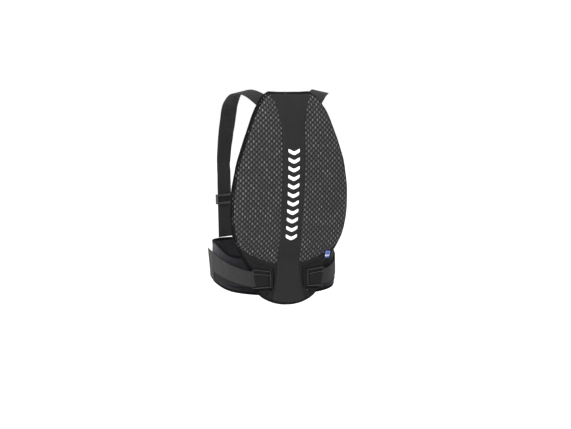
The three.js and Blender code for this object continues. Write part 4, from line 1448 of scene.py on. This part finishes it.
def slider(name, side):
    """A three-bar slider: two bars behind the webbing, one in front and a cheek at each end of them."""
    centre = strap_read(strap_line, SLIDER_AT)
    wide, along, out = (unit(strap_read(v, SLIDER_AT)) for v in (strap_wide, strap_along, strap_out))
    thick, wide_mm, bar, tall, play = (SLIDER[k] for k in ("thick", "wide", "bar", "tall", "play"))
    back, front = -play - thick / 2, STRAP_THICK + play + thick / 2
    cheek = (wide_mm - STRAP_WIDE) / 2 - play
    reach = (wide_mm - cheek) / 2
    lying, upright = (wide, along, out), (along, wide, out)
    apart, behind = along * (tall - bar) / 2, centre + out * back
    parts = [(behind + apart * k, lying, (wide_mm, bar, thick)) for k in (1, -1)]
    parts += [(centre + out * front, lying, (wide_mm, bar + 2, thick))]
    middle, deep = centre + out * (front + back) / 2, front - back + thick
    parts += [(middle + wide * reach * k, upright, (tall, cheek, deep)) for k in (-1, 1)]
    points, faces, uv = [], [], []
    for part in parts:
        p, f, coordinates = rounded_bar(*part)
        faces += [[k + len(points) for k in face] for face in f]
        points += p.tolist()
        uv += coordinates.tolist()
    return make_mesh(name, np.array(points) * (side, 1, 1), faces, uv, "plastic")


PATCH_WIDE = STRAP_WIDE - 6
FOOT_HALF = STRAP_WIDE / 2 + 2
foot_start, foot_end = AT_STRAP - FOOT_HALF, AT_STRAP + FOOT_HALF


def foot_low(s):
    return belt_top(s) - 59.4 + corner_round(s, foot_end, 8, foot_start)


for side, name in SIDES:
    def webbing_place(s, w, offset, side=side):
        fades = lens((s - FOLD_AT - 10) / 60) * lens((SLIDER_AT - 20 - s) / 60)
        return strap_place(s, w, offset + 0.5 * strap_ripple(s, w * 30) * fades, side)

    def patch_place(s, w, offset, side=side):
        return strap_place(s, w, offset, side, PATCH_WIDE)

    strap = slab(f"{name}_strap_webbing", webbing_place, strap_at[-1], even_width(STRAP_WIDE), 0, STRAP_THICK,
                 "strap", 3 * fine, 3 * fine, 0.8)
    pivot = strap_read(strap_line, FOLD_AT)
    width_axis = unit(strap_read(strap_wide, FOLD_AT))
    forwards = unit(np.array([0, 1, 0]) - width_axis[1] * width_axis)
    (pivot - 6 * forwards) * (side, 1, 1) * MM
    (pivot + 12 * forwards) * (side, 1, 1) * MM
    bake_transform(strap)
    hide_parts(f"{name}_strap_root", f"{name}_shoulder_strap", f"{name}_strap_tail")

    patch = slab(f"{name}_strap_patch_cover", patch_place, PATCH_TO - 2, even_width(PATCH_WIDE), -1.4, -0.3,
                 "tape", 2.5, 3.0, 0.6, start=2)
    settle(patch, "back_panel", f"{name}_strap_patch")
    tab = belt_slab(f"{name}_strap_tab_cover", side, foot_start, foot_end, foot_low, raised(belt_top, 2.6),
                    ON_WING, ON_WING + 2.6, "tape", step=2.5, across=3.0, edge=1.1)
    settle(tab, f"{name}_wing", f"{name}_strap_tab")
    settle(slider(f"{name}_slider_bars", side), f"{name}_slider", f"{name}_strap_slider")

    seams = Stitches(f"{name}_strap_tab_stitches", "pale_thread", f"{name}_wing")
    for low, high in ((-18, 0.5), (-56, -21)):
        corners = [(foot_start + 4, low), (foot_end - 4, low), (foot_end - 4, high), (foot_start + 4, high)]
        for (s0, z0), (s1, z1) in zip(corners, corners[1:] + corners[:1]):
            s = np.linspace(s0, s1, 20)
            z = belt_top(s) + np.linspace(z0, z1, 20)
            belt_row(seams, side, s, z, ON_WING + 2.6, pitch=3.0, radius=0.3)
    seams.sew()

# ---------- floor, light and camera

FLOOR_Z, FLOOR_REACH = -0.46, 40
CAMERA = {
    "azimuth": -18, "elevation": 4, "distance": 3.2, "target": (0.0085, 0.030, 0.1425), "roll": -0.65,
    "lens": 86.18,
}
LIT = (0, 0, 0.18)  # what the lights point at


def add_object(name, data):
    obj = bpy.data.objects.new(name, data)
    bpy.context.scene.collection.objects.link(obj)
    return obj


def floor():
    mesh = bpy.data.meshes.new("floor")
    corners = [(x * FLOOR_REACH, y * FLOOR_REACH, FLOOR_Z) for x, y in ((-1, -1), (1, -1), (1, 1), (-1, 1))]
    mesh.from_pydata(corners, [], [(0, 1, 2, 3)])
    material = bpy.data.materials.new("floor")
    material.use_nodes = True
    shader = material.node_tree.nodes["Principled BSDF"]
    shader.inputs["Base Color"].default_value = (0.98, 0.98, 0.98, 1)
    shader.inputs["Roughness"].default_value = 0.95
    mesh.materials.append(material)
    add_object("floor", mesh)


def camera():
    data = bpy.data.cameras.new("camera")
    data.lens, data.sensor_width = CAMERA["lens"], 36
    data.clip_start, data.clip_end = 0.1, 200
    obj = add_object("camera", data)
    a, e = math.radians(CAMERA["azimuth"]), math.radians(CAMERA["elevation"])
    back = Vector((math.sin(a) * math.cos(e), -math.cos(a) * math.cos(e), math.sin(e)))
    obj.location = Vector(CAMERA["target"]) + back * CAMERA["distance"]
    obj.rotation_mode = "QUATERNION"
    turn = Quaternion((0, 0, 1), math.radians(CAMERA["roll"]))
    obj.rotation_quaternion = (-back).to_track_quat("-Z", "Y") @ turn
    bpy.context.scene.camera = obj


def lamp(name, kind, energy, way, place=(0, 0, 0), **settings):
    """A light that shines along way."""
    data = bpy.data.lights.new(name, kind)
    data.energy = energy
    for key, value in settings.items():
        setattr(data, key, value)
    obj = add_object(name, data)
    obj.location = place
    obj.rotation_euler = way.to_track_quat("-Z", "Y").to_euler()


floor()
camera()
world = bpy.data.worlds.new("studio")
world.use_nodes = True
world.node_tree.nodes["Background"].inputs["Color"].default_value = (1, 1, 1, 1)
world.node_tree.nodes["Background"].inputs["Strength"].default_value = 1.0
bpy.context.scene.world = world
bpy.context.scene.view_settings.view_transform = "Standard"
for name, watts, size, place in (("key", 135, 0.9, (-2.2, -1.6, 2.3)), ("fill", 8, 1.6, (2.2, -1.8, 0.6))):
    lamp(name, "AREA", watts, Vector(LIT) - Vector(place), place, shape="DISK", size=size)
lamp("overhead", "SUN", 0.8, Vector((0.25, 0.35, -1)), angle=math.radians(60))
